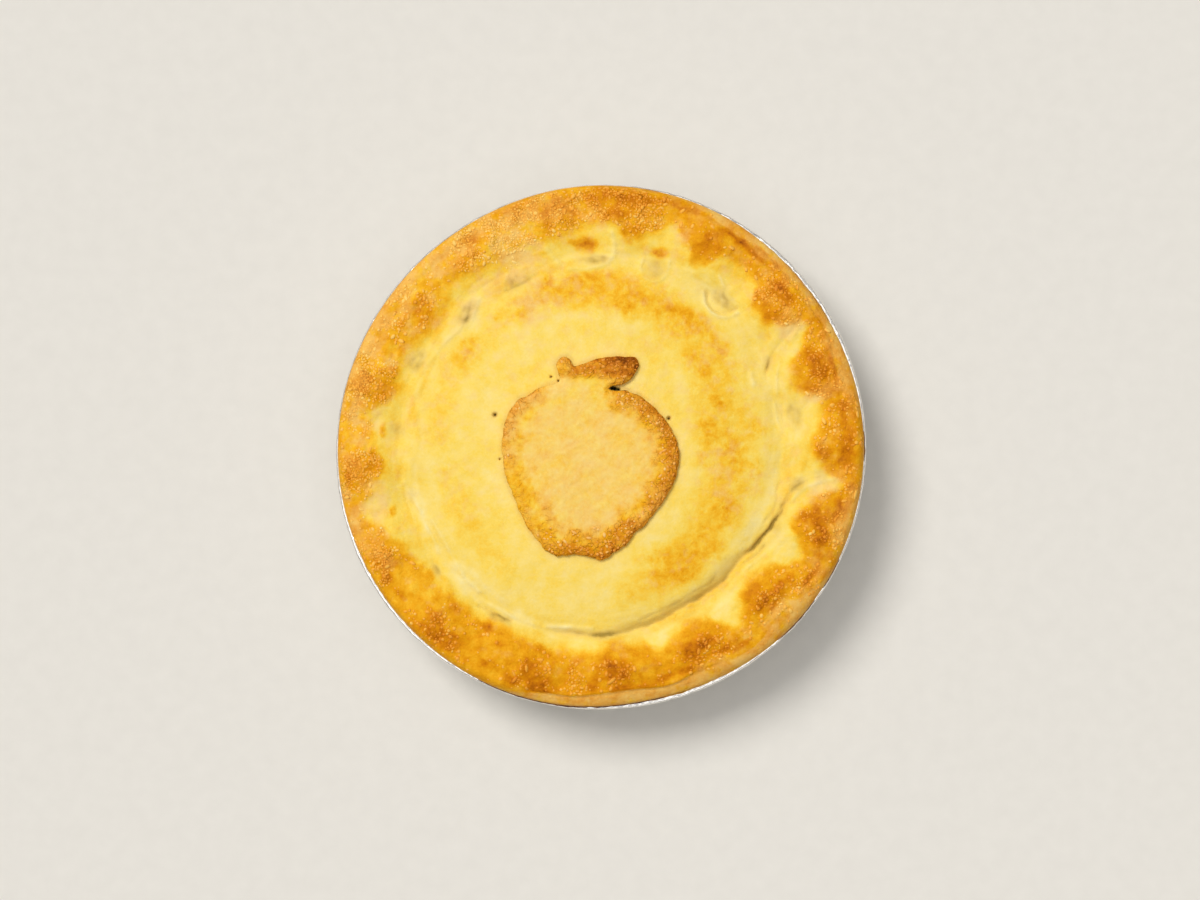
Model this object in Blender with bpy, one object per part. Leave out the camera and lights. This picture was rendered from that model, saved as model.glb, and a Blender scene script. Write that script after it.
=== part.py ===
"""Double-crust apple pie in its foil tin, with a pastry apple on the lid.

Metres, +Z up. The origin is the middle of the tin's foot, on the surface the pie stands on. +Y runs from the
foot of the pastry apple towards its leaf. Angles are degrees anticlockwise from +X, seen from above.
Run it with: blender --background --python part.py
"""

import math

import bmesh
import bpy
from mathutils import Vector, noise
from mathutils.geometry import delaunay_2d_cdt

MM = 0.001

# Foil tin: a tapered dish, pressed from sheet, with its rim rolled outwards
TIN_RADIUS = 90.0 * MM  # to the outside of the rolled rim
RIM_BENDS = ((1, 0.35, 282), (2, 0.70, 25), (3, 0.35, 86))  # waves round it, mm outwards, towards which angle
TIN_HEIGHT = 32.0 * MM
FOOT_RADIUS = 67.0 * MM
PANEL_RADIUS = 57.0 * MM  # the middle of the base, lifted off the ring that the tin stands on
PANEL_LIFT = 0.9 * MM
PANEL_STEP = 1.2 * MM
CORNER_WIDTH, CORNER_HEIGHT = 2.4 * MM, 2.8 * MM  # between the foot and the wall
CORNER_STEPS = 3
FOIL = 0.5 * MM
BEAD_RADIUS = 1.1 * MM  # of the rolled rim's section
BEAD_TURN = 1.5 * math.pi  # how far the sheet is rolled round
BEAD_STEPS = 7
TIN_STEPS = 80

GAP = 0.35 * MM  # kept between pieces that touch

# Lid: a low dome. Pressing the rim has pushed its middle off the tin's.
LID_CENTRE = Vector((-3.6, 0.8)) * MM
LID_RISE = 4.2 * MM
LID_SQUARENESS = 2.8  # 2 is a round dome, more is a flat top with a steeper edge
MOAT_RADIUS = 65.0 * MM  # where the lid dips before the rim
MOAT_HEIGHT = 36.4 * MM

# Rim: a thick roll of pastry, pressed down by a thumb all the way round
RIM_START = 61.0 * MM
CREST_RADIUS = 79.0 * MM
RIM_RISE = 3.2 * MM  # from the moat to the top of a ridge between two presses
LOW_ANGLE, LOW_SPAN, LOW_SHARE = 135, 62, 0.45  # where the rim stands least above the lid
SHOULDER_RADIUS = 86.2 * MM  # where the top turns over into the side
SHOULDER_DROP = 1.2 * MM
PRESSES = (  # angle of each thumb press, and its depth as a share of the deepest
    (10, 0.95), (27, 0.85), (49, 0.90), (73, 0.75), (93, 0.85), (113, 0.50),
    (134, 0.60), (155, 0.75), (175, 0.70), (197, 0.85), (216, 0.60), (237, 0.55),
    (262, 0.70), (286, 0.75), (307, 1.00), (329, 1.00), (352, 0.95),
)  # fmt: skip
PRESS_HALF_WIDTH = 6.8  # degrees
PRESS_DEPTH = 2.3 * MM  # on the crest
PRESS_FADE = 0.45  # share of the depth lost by the shoulder
DENT_DEPTH = 1.3 * MM  # left by the tip of the thumb, in the moat
DENT_RADIUS, DENT_REACH = 65.5 * MM, 4.2 * MM

# Side: what shows between the shoulder and the tin. It is widest where the rim leans in, at the front right.
SKIRT_RADIUS, SKIRT_HEIGHT = 89.3 * MM, 33.2 * MM
LEANS = (  # angle, half-width in degrees, and share
    (290, 30, 0.85), (318, 14, 0.60), (19, 10, 0.60), (42, 26, 0.40),
)  # fmt: skip
LEAN = 4.8 * MM
PRESS_SPREAD = 3.5 * MM  # the thumb has pushed the shoulder back out
SHRINKS = (  # angle, half-width in degrees, and mm inwards
    (36, 22, 0.95), (97, 16, -0.35), (140, 20, -0.1), (166, 10, -0.1), (214, 24, 0.75), (285, 18, 1.15),
    (338, 26, 0.15),
)  # fmt: skip

# Crease: a long fold at the front right, where the rim has rolled over the edge of the lid
CREASE_PATH = (  # angle, distance from the tin's middle in mm, and depth as a share of the deepest
    (256, 65.2, 0.0), (270, 64.2, 0.5), (286, 62.6, 0.65), (300, 61.0, 0.7), (318, 60.8, 0.7),
    (327, 62.4, 1.0), (336, 64.2, 1.0), (342, 65.0, 0.5), (350, 69.0, 0.0),
)  # fmt: skip
CREASE_REACH, CREASE_DEPTH = 1.9 * MM, 1.7 * MM

# Hand-rolled dough is never quite even
WAVE_HEIGHT, WAVE_LENGTH = 0.45 * MM, 17.0 * MM
LUMP_HEIGHT, LUMP_LENGTH = 0.55 * MM, 7.5 * MM  # on the rim alone

# Steam vents pricked into the lid: middle, half-length along X, half-width along Y, all in mm
VENTS = ((-35.9, 10.9, 0.5, 0.5), (23.0, 9.7, 0.45, 0.45), (4.6, 19.8, 1.5, 0.4))
VENT_DEPTH = 3.0 * MM
VENT_SIDES = 8

CRUST_STEPS = 136  # sections round the pie, 8 for each press
LID_RINGS = [r * MM for r in (8, 17, 26, 35, 43, 50, 55, 59)]
RIM_RINGS = [r * MM for r in (61.2, 63, 64.8, 66.8, 69, 71.5, 74, 76.5, 79, 81.6, 84, 86.2)]
SIDE_STEPS = 5
WAIST_HEIGHT = 17.5 * MM  # halfway down inside the tin

# Pastry apple, cut by hand from rolled dough
APPLE_THICKNESS = 1.9 * MM
APPLE_OUTLINE = (  # mm from the tin's middle, anticlockwise: the fruit, its notch, the leaf and the stalk
    (-14.0, 22.0), (-19.3, 20.5), (-25.0, 17.6), (-29.2, 14.5), (-32.0, 9.5), (-33.3, 3.5), (-33.0, -6.0),
    (-30.5, -14.0), (-26.8, -23.0), (-22.6, -30.0), (-19.3, -34.5), (-14.8, -37.0), (-8.8, -36.2),
    (-3.3, -37.4), (0.5, -37.5), (5.2, -35.0), (11.8, -29.0), (17.8, -22.5), (21.8, -17.0), (24.8, -11.0),
    (26.3, -5.0), (25.8, 0.5), (23.3, 7.0), (18.8, 12.2), (13.8, 16.5), (9.3, 18.6), (5.0, 19.1),
    (2.6, 19.6), (4.0, 20.9), (7.2, 21.2), (10.0, 22.9), (11.9, 25.5), (12.6, 28.2), (10.6, 30.3),
    (3.0, 30.4), (-3.3, 29.0), (-8.6, 27.3), (-11.0, 29.9), (-13.4, 30.3), (-15.0, 27.8), (-14.4, 25.0),
)  # fmt: skip
OUTLINE_STEPS = 3  # points to each stretch of the outline
APPLE_EDGE = ((0.0, 0.55), (0.6, 0.86), (1.7, 1.0))  # mm in from the edge, and the thickness there as a share
APPLE_GRID = 6.0 * MM  # spacing of the points across its faces
SHARPEST_SMOOTH = 40.0  # degrees between two faces that still shade as one


def clamp(value, low=0.0, high=1.0):
    return max(low, min(high, value))


def smooth(value, low, high):
    """0 below low, 1 above high, and an S-curve between."""
    t = clamp((value - low) / (high - low))
    return t * t * (3 - 2 * t)


def bell(x):
    return math.exp(-x * x)


def turned_by(angle):
    """The same angle, from -180 to 180."""
    return (angle + 180.0) % 360.0 - 180.0


def around(radius, angle):
    return radius * math.cos(math.radians(angle)), radius * math.sin(math.radians(angle))


def pressed(angle):
    """How deep the thumb presses are at this angle, from 0 on a ridge to 1."""
    return sum(depth * bell(turned_by(angle - at) / PRESS_HALF_WIDTH) for at, depth in PRESSES)


def bent(angle):
    """How far outwards the tin's rim has been bent at this angle."""
    return sum(mm * MM * math.cos(math.radians(waves * (angle - at))) for waves, mm, at in RIM_BENDS)


def uneven(x, y, height, length):
    return height * noise.noise(Vector((x / length, y / length, 0.5)))


def crust_height(reach, angle):
    """Height of the crust's top. reach runs from the lid's middle out to the shoulder of a round rim."""
    press = pressed(angle)
    dome = LID_RISE * (1 - min(1.0, reach / MOAT_RADIUS) ** LID_SQUARENESS)
    outer = smooth(reach, CREST_RADIUS, SHOULDER_RADIUS)
    low = 1 - LOW_SHARE * bell(turned_by(angle - LOW_ANGLE) / LOW_SPAN)
    ridge = RIM_RISE * low - PRESS_DEPTH * press * (1 - PRESS_FADE * outer)
    rim = smooth(reach, RIM_START, CREST_RADIUS) * ridge
    dent = DENT_DEPTH * press * bell((reach - DENT_RADIUS) / DENT_REACH)
    return MOAT_HEIGHT + dome + rim - dent - SHOULDER_DROP * outer


def crease(x, y):
    """Depth of the crease at this point, seen from above."""
    angle = math.degrees(math.atan2(y, x)) % 360
    for (start, near, shallow), (end, far, deep) in zip(CREASE_PATH, CREASE_PATH[1:]):
        if start <= angle < end:
            along = (angle - start) / (end - start)
            off = math.hypot(x, y) - (near + (far - near) * along) * MM
            return CREASE_DEPTH * (shallow + (deep - shallow) * along) * bell(off / CREASE_REACH)
    return 0.0


def shoulder_radius(angle):
    lean = sum(share * bell(turned_by(angle - at) / width) for at, width, share in LEANS)
    return SHOULDER_RADIUS + bent(angle) - lean * (LEAN - PRESS_SPREAD * pressed(angle))


def skirt_radius(angle):
    shrink = sum(mm * bell(turned_by(angle - at) / width) for at, width, mm in SHRINKS)
    return SKIRT_RADIUS - shrink * MM + bent(angle)


def crust_top(reach, angle):
    """The point of the crust's top at this reach and angle."""
    share = smooth(reach, MOAT_RADIUS, SHOULDER_RADIUS)
    x, y = around(reach + share * (shoulder_radius(angle) - SHOULDER_RADIUS), angle)
    x += LID_CENTRE.x * (1 - share)
    y += LID_CENTRE.y * (1 - share)
    z = crust_height(reach, angle) - crease(x, y) + uneven(x, y, WAVE_HEIGHT, WAVE_LENGTH)
    z += uneven(x, y, LUMP_HEIGHT, LUMP_LENGTH) * smooth(reach, MOAT_RADIUS, CREST_RADIUS)
    return Vector((x, y, z))


def lid_height(x, y):
    """Height of the lid inside the moat, over any point."""
    dx, dy = x - LID_CENTRE.x, y - LID_CENTRE.y
    return crust_top(math.hypot(dx, dy), math.degrees(math.atan2(dy, dx))).z


def tin_wall(height):
    """Radius of the tin's inner wall."""
    low, high = CORNER_HEIGHT, TIN_HEIGHT - BEAD_RADIUS
    foot, rim = FOOT_RADIUS + CORNER_WIDTH - FOIL, TIN_RADIUS - 2 * BEAD_RADIUS
    return foot + (rim - foot) * (height - low) / (high - low)


def tin_corner(inwards):
    """From the foot up to the wall. inwards is the sheet's thickness, or 0 for the outer face."""
    turns = [0.5 * math.pi * k / CORNER_STEPS for k in range(CORNER_STEPS + 1)]
    rise = CORNER_HEIGHT - inwards
    start = FOOT_RADIUS - inwards
    return [(start + CORNER_WIDTH * math.sin(t), inwards + rise * (1 - math.cos(t))) for t in turns]


def tin_section(angle):
    """From the middle of the floor, up the inside, over the rolled rim and down the outside to the middle."""
    step_radius = PANEL_RADIUS + PANEL_STEP
    floor = [(0, PANEL_LIFT + FOIL), (PANEL_RADIUS, PANEL_LIFT + FOIL), (step_radius, FOIL)]
    bead_radius, bead_height = TIN_RADIUS - BEAD_RADIUS, TIN_HEIGHT - BEAD_RADIUS
    bead = []
    for k in range(BEAD_STEPS + 1):
        turn = math.pi - BEAD_TURN * k / BEAD_STEPS
        bead.append((bead_radius + BEAD_RADIUS * math.cos(turn), bead_height + BEAD_RADIUS * math.sin(turn)))
    under = bead_height - 1.5 * BEAD_RADIUS
    outside = [(tin_wall(under) + FOIL, under), *reversed(tin_corner(0))]
    base = [(step_radius, 0), (PANEL_RADIUS, PANEL_LIFT), (0, PANEL_LIFT)]
    return [
        Vector((*around(radius + bent(angle) * height / TIN_HEIGHT, angle), height))
        if radius
        else Vector((0, 0, height))
        for radius, height in floor + tin_corner(FOIL) + bead + outside + base
    ]


def crust_section(angle):
    """From the middle of the lid, over the rim, down the side and inside the tin to the base's middle."""
    middle = Vector((LID_CENTRE.x, LID_CENTRE.y, crust_height(0, 0)))
    top = [crust_top(reach, angle) for reach in LID_RINGS + RIM_RINGS]
    shoulder, foot = top[-1], skirt_radius(angle)
    inner = math.hypot(shoulder.x, shoulder.y)
    side = []
    for k in range(1, SIDE_STEPS + 1):
        turn = 0.5 * math.pi * k / SIDE_STEPS
        height = SKIRT_HEIGHT + (shoulder.z - SKIRT_HEIGHT) * math.cos(turn)
        side.append((inner + (foot - inner) * math.sin(turn), height))
    neck = min(tin_wall(TIN_HEIGHT - BEAD_RADIUS) - GAP + bent(angle), foot - GAP)
    below = [(neck, TIN_HEIGHT + GAP), (neck, TIN_HEIGHT - BEAD_RADIUS - GAP)]
    for height in (WAIST_HEIGHT, CORNER_HEIGHT + GAP):
        below.append((tin_wall(height) - GAP + bent(angle) * height / TIN_HEIGHT, height))
    base = PANEL_LIFT + FOIL + GAP
    below.append((FOOT_RADIUS - FOIL, base))
    edge = [Vector((*around(radius, angle), height)) for radius, height in side + below]
    return [middle, *top, *edge, Vector((0, 0, base))]


def round_solid(name, section, steps):
    """A closed solid from its section at each angle. Every section starts and ends at the same two points."""
    bm = bmesh.new()
    sections = [section(360.0 * k / steps) for k in range(steps)]
    top, bottom = bm.verts.new(sections[0][0]), bm.verts.new(sections[0][-1])
    columns = [[bm.verts.new(point) for point in points[1:-1]] for points in sections]
    for here, there in zip(columns, columns[1:] + columns[:1]):
        bm.faces.new((top, here[0], there[0]))
        bm.faces.new((bottom, there[-1], here[-1]))
        for k in range(len(here) - 1):
            bm.faces.new((here[k], here[k + 1], there[k + 1], there[k]))
    return new_object(name, bm)


def new_object(name, bm):
    mesh = bpy.data.meshes.new(name)
    bm.to_mesh(mesh)
    bm.free()
    mesh.shade_smooth()
    mesh.set_sharp_from_angle(angle=math.radians(SHARPEST_SMOOTH))
    obj = bpy.data.objects.new(name, mesh)
    bpy.context.scene.collection.objects.link(obj)
    return obj


def apple_outline():
    """The outline's points joined by a smooth curve."""
    points = [Vector(p) * MM for p in APPLE_OUTLINE]
    curve = []
    for k, here in enumerate(points):
        before, after, later = points[k - 1], points[(k + 1) % len(points)], points[(k + 2) % len(points)]
        for step in range(OUTLINE_STEPS):
            t = step / OUTLINE_STEPS
            bend = 2 * before - 5 * here + 4 * after - later
            twist = 3 * here - before - 3 * after + later
            curve.append(here + 0.5 * t * ((after - before) + t * (bend + t * twist)))
    return curve


def distance_to(point, loop):
    """From the point to the nearest edge of the closed loop."""
    nearest = math.inf
    for start, end in zip(loop, loop[1:] + loop[:1]):
        along = end - start
        t = clamp((point - start).dot(along) / along.length_squared)
        nearest = min(nearest, (point - start - t * along).length)
    return nearest


def inset(loop, distance):
    """Points this far inside the loop, left out where the shape is too narrow for them."""
    found = []
    for k, here in enumerate(loop):
        along = (loop[(k + 1) % len(loop)] - loop[k - 1]).normalized()
        point = here + distance * Vector((-along.y, along.x))
        if distance_to(point, loop) > 0.9 * distance:
            found.append(point)
    return found


def grid_inside(loop, spacing):
    """A square grid over the loop, clear of its edge. The triangulation drops what lies outside."""
    xs, ys = [p.x for p in loop], [p.y for p in loop]
    points = []
    for column in range(int((max(xs) - min(xs)) / spacing) + 1):
        for row in range(int((max(ys) - min(ys)) / spacing) + 1):
            points.append(Vector((min(xs) + column * spacing, min(ys) + row * spacing)))
    return [p for p in points if distance_to(p, loop) > 0.6 * spacing]


def filled(loop, inner):
    """Points and triangles of the area inside the loop, with the loop's own points first."""
    edges = [(k, (k + 1) % len(loop)) for k in range(len(loop))]
    inside_only = 1
    points, _, faces, *_ = delaunay_2d_cdt(loop + inner, edges, [], inside_only, 1e-7)
    return points, faces


def apple_thickness(inwards):
    """Thickness at this distance in from the edge."""
    for (near, low), (far, high) in zip(APPLE_EDGE, APPLE_EDGE[1:]):
        if inwards <= far * MM:
            return APPLE_THICKNESS * (low + (high - low) * (inwards / MM - near) / (far - near))
    return APPLE_THICKNESS


def pastry_apple(name):
    """The cut-out lies on the lid and follows its curve."""
    loop = apple_outline()
    grid = grid_inside(loop, APPLE_GRID)
    rings = [point for inwards, _ in APPLE_EDGE[1:] for point in inset(loop, inwards * MM)]
    bm = bmesh.new()
    rims = []
    for inner, is_top in ((rings + grid, True), (grid, False)):
        points, faces = filled(loop, inner)
        verts = []
        for p in points:
            thickness = apple_thickness(distance_to(p, loop)) if is_top else 0.0
            verts.append(bm.verts.new((p.x, p.y, lid_height(p.x, p.y) + GAP + thickness)))
        for face in faces:
            corners = [verts[k] for k in face]
            bm.faces.new(corners if is_top else corners[::-1])
        rims.append(verts[: len(loop)])
    upper, lower = rims
    for k in range(len(loop)):
        bm.faces.new((upper[k - 1], lower[k - 1], lower[k], upper[k]))
    return new_object(name, bm)


def cut_vents(crust):
    """Small holes down into the lid, by one Boolean for each."""
    for k, (x, y, half_length, half_width) in enumerate(VENTS):
        height = lid_height(x * MM, y * MM)
        bm = bmesh.new()
        bmesh.ops.create_cone(
            bm, cap_ends=True, segments=VENT_SIDES, radius1=MM, radius2=MM, depth=2 * VENT_DEPTH
        )
        bmesh.ops.scale(bm, vec=(half_length, half_width, 1), verts=bm.verts)
        bmesh.ops.translate(bm, vec=(x * MM, y * MM, height), verts=bm.verts)
        cutter = new_object(f"vent_cutter_{k}", bm)
        cutter.hide_render = True
        cutter.display_type = "WIRE"
        cut = crust.modifiers.new(f"vent_{k}", "BOOLEAN")
        cut.operation = "DIFFERENCE"
        cut.object = cutter


def material(name, colour, roughness, metallic=0.0):
    made = bpy.data.materials.new(name)
    made.use_nodes = True
    shader = made.node_tree.nodes["Principled BSDF"]
    shader.inputs["Base Color"].default_value = (*colour, 1.0)
    shader.inputs["Roughness"].default_value = roughness
    shader.inputs["Metallic"].default_value = metallic
    made.diffuse_color = (*colour, 1.0)
    return made


def main():
    for old in list(bpy.data.objects):
        bpy.data.objects.remove(old)
    tin = round_solid("foil_tin", tin_section, TIN_STEPS)
    tin.data.materials.append(material("foil", (0.80, 0.80, 0.79), 0.35, 1.0))
    pie = round_solid("pie", crust_section, CRUST_STEPS)
    cut_vents(pie)
    pie.data.materials.append(material("baked_crust", (0.78, 0.44, 0.08), 0.5))
    apple = pastry_apple("pastry_apple")
    apple.data.materials.append(material("toasted_pastry", (0.76, 0.42, 0.10), 0.55))


main()
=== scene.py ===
"""The looks of a double-crust apple pie in its foil tin, seen from straight above.

Metres, +Z up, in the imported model's own frame: its origin is the middle of the tin's foot, and +Y runs from
the foot of the pastry apple towards its leaf. Angles are degrees anticlockwise from +X, seen from above.
"""

import math

import bpy
import numpy as np
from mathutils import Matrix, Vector, noise
from mathutils.geometry import delaunay_2d_cdt


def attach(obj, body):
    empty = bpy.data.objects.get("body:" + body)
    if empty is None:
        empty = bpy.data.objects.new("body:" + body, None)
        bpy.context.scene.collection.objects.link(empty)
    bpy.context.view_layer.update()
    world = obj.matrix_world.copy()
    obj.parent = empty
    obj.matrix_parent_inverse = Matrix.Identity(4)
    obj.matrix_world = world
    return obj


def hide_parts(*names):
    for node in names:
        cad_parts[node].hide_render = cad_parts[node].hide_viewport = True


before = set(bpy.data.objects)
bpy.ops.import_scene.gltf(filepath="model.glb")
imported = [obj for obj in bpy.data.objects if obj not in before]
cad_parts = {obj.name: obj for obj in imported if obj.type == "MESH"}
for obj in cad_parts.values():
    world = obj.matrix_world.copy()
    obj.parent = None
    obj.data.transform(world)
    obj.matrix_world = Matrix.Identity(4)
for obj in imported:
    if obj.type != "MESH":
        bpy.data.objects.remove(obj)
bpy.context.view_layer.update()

MM = 0.001

# ---------------------------------------------------------------- sizes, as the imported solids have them

TIN_RADIUS, TIN_HEIGHT, FOOT_RADIUS = 90.0 * MM, 32.0 * MM, 67.0 * MM
RIM_BENDS = ((1, 0.35, 282), (2, 0.70, 25), (3, 0.35, 86))  # waves round it, mm outwards, towards which angle
PANEL_RADIUS, PANEL_LIFT, PANEL_STEP = 57.0 * MM, 0.9 * MM, 1.2 * MM  # the raised middle of the base
CORNER_WIDTH, CORNER_HEIGHT = 2.4 * MM, 2.8 * MM  # between the foot and the wall
FOIL = 0.5 * MM
BEAD_RADIUS, BEAD_TURN = 1.1 * MM, 1.5 * math.pi  # of the rolled rim, and how far the sheet is rolled round
GAP = 0.35 * MM  # kept between pieces that touch

LID_CENTRE = (-3.6 * MM, 0.8 * MM)
LID_RISE, LID_SQUARENESS = 4.2 * MM, 2.8  # 2 is a round dome, more is a flat top with a steeper edge
MOAT_RADIUS, MOAT_HEIGHT = 65.0 * MM, 36.4 * MM  # where the lid dips before the rim
RIM_START, CREST_RADIUS, RIM_RISE = 61.0 * MM, 79.0 * MM, 3.2 * MM
LOW_ANGLE, LOW_SPAN, LOW_SHARE = 135, 62, 0.45  # where the rim stands least above the lid
SHOULDER_RADIUS, SHOULDER_DROP = 86.2 * MM, 1.2 * MM
SKIRT_RADIUS, SKIRT_HEIGHT = 89.3 * MM, 33.2 * MM

PRESSES = (  # angle of each thumb press, and its depth as a share of the deepest
    (10, 0.95), (27, 0.85), (49, 0.90), (73, 0.75), (93, 0.85), (113, 0.50),
    (134, 0.60), (155, 0.75), (175, 0.70), (197, 0.85), (216, 0.60), (237, 0.55),
    (262, 0.70), (286, 0.75), (307, 1.00), (329, 1.00), (352, 0.95),
)  # fmt: skip
PRESS_HALF_WIDTH = 6.8  # degrees
PRESS_DEPTH, PRESS_FADE = 2.3 * MM, 0.45  # on the crest, and the share of it lost by the shoulder
DENT_DEPTH, DENT_RADIUS, DENT_REACH = 1.3 * MM, 65.5 * MM, 4.2 * MM  # left by the tip of the thumb
LEANS = ((290, 30, 0.85), (318, 14, 0.60), (19, 10, 0.60), (42, 26, 0.40))  # where the rim leans in
LEAN, PRESS_SPREAD = 4.8 * MM, 3.5 * MM
SHRINKS = (  # where the crust has drawn back from the tin: angle, half-width in degrees, and mm inwards
    (36, 22, 0.95), (97, 16, -0.35), (140, 20, -0.1), (166, 10, -0.1), (214, 24, 0.75), (285, 18, 1.15),
    (338, 26, 0.15),
)  # fmt: skip
WAVE_HEIGHT, WAVE_LENGTH = 0.45 * MM, 17.0 * MM
LUMP_HEIGHT, LUMP_LENGTH = 0.55 * MM, 7.5 * MM

APPLE_THICKNESS = 1.9 * MM
APPLE_OUTLINE = (  # x and y in mm
    (-14.0, 22.0), (-19.3, 20.5), (-25.0, 17.6), (-29.2, 14.5), (-32.0, 9.5), (-33.3, 3.5), (-33.0, -6.0),
    (-30.5, -14.0), (-26.8, -23.0), (-22.6, -30.0), (-19.3, -34.5), (-14.8, -37.0), (-8.8, -36.2),
    (-3.3, -37.4), (0.5, -37.5), (5.2, -35.0), (11.8, -29.0), (17.8, -22.5), (21.8, -17.0), (24.8, -11.0),
    (26.3, -5.0), (25.8, 0.5), (23.3, 7.0), (18.8, 12.2), (13.8, 16.5), (9.3, 18.6), (5.0, 19.1),
    (2.6, 19.6), (4.0, 20.9), (7.2, 21.2), (10.0, 22.9), (11.9, 25.5), (12.6, 28.2), (10.6, 30.3),
    (3.0, 30.4), (-3.3, 29.0), (-8.6, 27.3), (-11.0, 29.9), (-13.4, 30.3), (-15.0, 27.8), (-14.4, 25.0),
)  # fmt: skip

# ---------------------------------------------------------------- sizes of the finer shapes

# The fold where the rim has rolled over the edge of the lid. By angle: its distance from the tin's middle in
# mm, its depth as a share of the deepest, and how softly the lid bends down to it
FOLD_PATH = (
    (252, 66.2), (258, 64.8), (264, 64.2), (270, 64.2), (278, 63.3), (286, 62.6), (291, 61.7), (296, 61.1),
    (300, 61), (305, 61.5), (312, 61.7), (318, 60.8), (322, 60.8), (326, 62.2), (331, 63), (336, 64.2),
    (342, 65), (347, 67), (350, 69),
)  # fmt: skip
FOLD_STRENGTH = (
    (250, 0), (257, 0.12), (264, 0.3), (275, 0.5), (287, 0.65), (300, 0.7), (318, 0.7), (323, 0.55),
    (327, 1), (336, 1), (341, 0.5), (346, 0.25), (351, 0),
)  # fmt: skip
FOLD_SPREAD = (
    (250, 1.2), (280, 1.7), (292, 2.4), (318, 2.2), (326, 0.6), (338, 0.6), (351, 0.8),
)  # fmt: skip
FOLD_DEPTH, FOLD_WIDTH = 1.7 * MM, 1.2 * MM
FOLD_STEEP = 0.40  # how softly the rim bends down to it, all along

# Small creases and lips in the dough: depth in mm, less than 0 for a lip, half-width in mm, and a path of
# angles and distances
CREASES = (
    (0.5, 0.35,
     ((32.5, 80.4), (31.5, 76.7), (30.5, 72.3), (29.5, 68.2), (28, 64.8), (25.5, 62.6), (22.5, 60.9))),
    (-0.3, 0.9, ((34.5, 79), (33.5, 75), (32.4, 70.5), (31.3, 67))),
    (0.5, 0.7, ((28.4, 67), (26.6, 63.8), (24.4, 61.6))),
    (-0.5, 0.8, ((22.5, 56.2), (24.2, 56.3), (25.8, 56.8))),
    (-0.5, 0.6, ((17, 62.5), (20, 63.4), (23.5, 65.2), (26, 67.6))),
    (0.7, 0.5, ((45.6, 66), (46.6, 62.6), (48.6, 60.9), (51, 60.4), (53.6, 61.4), (55.6, 64))),
    (-0.8, 0.6, ((44.6, 65), (45.6, 61.6), (48, 59.7), (51, 59.1), (54.2, 60.2), (56.6, 63))),
    (0.25, 0.4, ((47.5, 63.6), (49.5, 65.4), (51.5, 67.2))),
    (-0.3, 0.4, ((49, 62.9), (51, 64.8), (52.6, 66.4))),
    (-0.6, 0.6, ((52.6, 68.4), (54, 69.6), (55.6, 70.6))),
    (-0.5, 0.5,
     ((69.8, 67.2), (69.2, 63), (70.4, 59.8), (73, 58.8), (76.4, 59.6), (77.8, 62.4), (77.4, 65.6))),
    (-0.6, 0.8, ((87.2, 73), (86.2, 68.5), (86.2, 65.5), (88, 62.6), (91, 61.3), (96, 61), (100.5, 61.8))),
    (-0.5, 0.9, ((105.5, 70), (104.5, 67), (103, 64.5))),
    (0.55, 0.5, ((6, 63.6), (9, 62.6), (13, 62.9))),
    (-0.4, 0.6, ((5, 61.6), (9, 60.6), (14, 61))),
    (0.4, 0.5, ((110, 62.5), (115, 61.6), (121, 61.8))),
    (-0.5, 0.5, ((118.5, 66.8), (120.5, 64.6), (121.5, 62.6))),
    (0.3, 0.5, ((131.5, 66.8), (134, 64.4), (137, 62.6), (139, 62))),
    (0.2, 0.4, ((134.5, 66.6), (137.5, 64.8), (139.5, 63.2))),
    (-0.45, 0.6, ((129.5, 65.2), (132.5, 63.2), (135.5, 61.4))),
    (-0.4, 1.0, ((138, 62.4), (146, 64), (155, 65.6), (165, 65.8), (172, 65.2), (180, 65), (187, 65.4))),
    (0.45, 0.45, ((194.5, 68.8), (197, 68.2), (202, 67.8))),
    (0.3, 1.0, ((214.8, 69.6), (216.5, 69.2), (218, 69.5))),
    (0.4, 0.45, ((196, 67.1), (201, 65.2), (206, 64), (211, 63.4))),
    (-0.55, 0.8, ((190, 67.8), (195, 66.3), (199, 65.4), (204, 65), (209, 65), (213, 65.8))),
    (-0.45, 0.7, ((203, 62.6), (210, 61.9), (217, 62.8), (224, 64.2), (231, 64.3))),
    (0.7, 0.45, ((232.5, 68.2), (235, 67.2), (238, 66.9), (243, 66.5))),
    (-0.45, 0.7, ((232, 66.2), (237, 65.2), (243, 64.8), (249, 64.6))),
    (0.35, 0.4, ((256.5, 65), (260.5, 64), (265, 63.7))),
    (-0.55, 0.8, ((253, 63.9), (257, 62.9), (261, 62), (267, 61.9))),
    (0.4, 0.6, ((283, 60.4), (290, 59.3), (296, 59.0), (303, 58.6), (309, 59.3), (316, 58.1))),
    (0.5, 0.45, ((318, 61.8), (322, 63.1), (326, 64.7), (329, 64.9))),
    (-0.5, 0.6, ((319, 63.8), (323, 65), (327, 66.2))),
    (0.45, 0.45, ((335.5, 61.2), (339.5, 62.4), (343, 62.4), (346, 61.7), (349.5, 62.2))),
    (0.5, 0.5, ((345, 65.2), (348, 66.8), (350.5, 70), (352, 74))),
    (-0.6, 0.7, ((344.5, 67.2), (347.5, 69.2), (349.6, 72), (351.2, 76), (352.4, 80))),
    (0.4, 0.45, ((350, 67.5), (352.6, 71.5), (354, 76))),
    (0.45, 0.35, ((74, 20.8), (62.6, 21.7), (53.5, 22.2), (43.7, 22.6))),
)  # fmt: skip
CREASE_REACH = 30 * MM  # farther than this from where a crease starts, nothing of it is felt

# Where the side shows below the lid's cut edge: from and to what angle, how clearly, and how sharp it is
LAPS = ((252, 294, 1.0, 1.0), (294, 330, 0.9, 0.15), (336, 354, 0.5, 0.4), (14, 70, 0.75, 0.8))
LAP_STEP = 1.0 * MM

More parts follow.
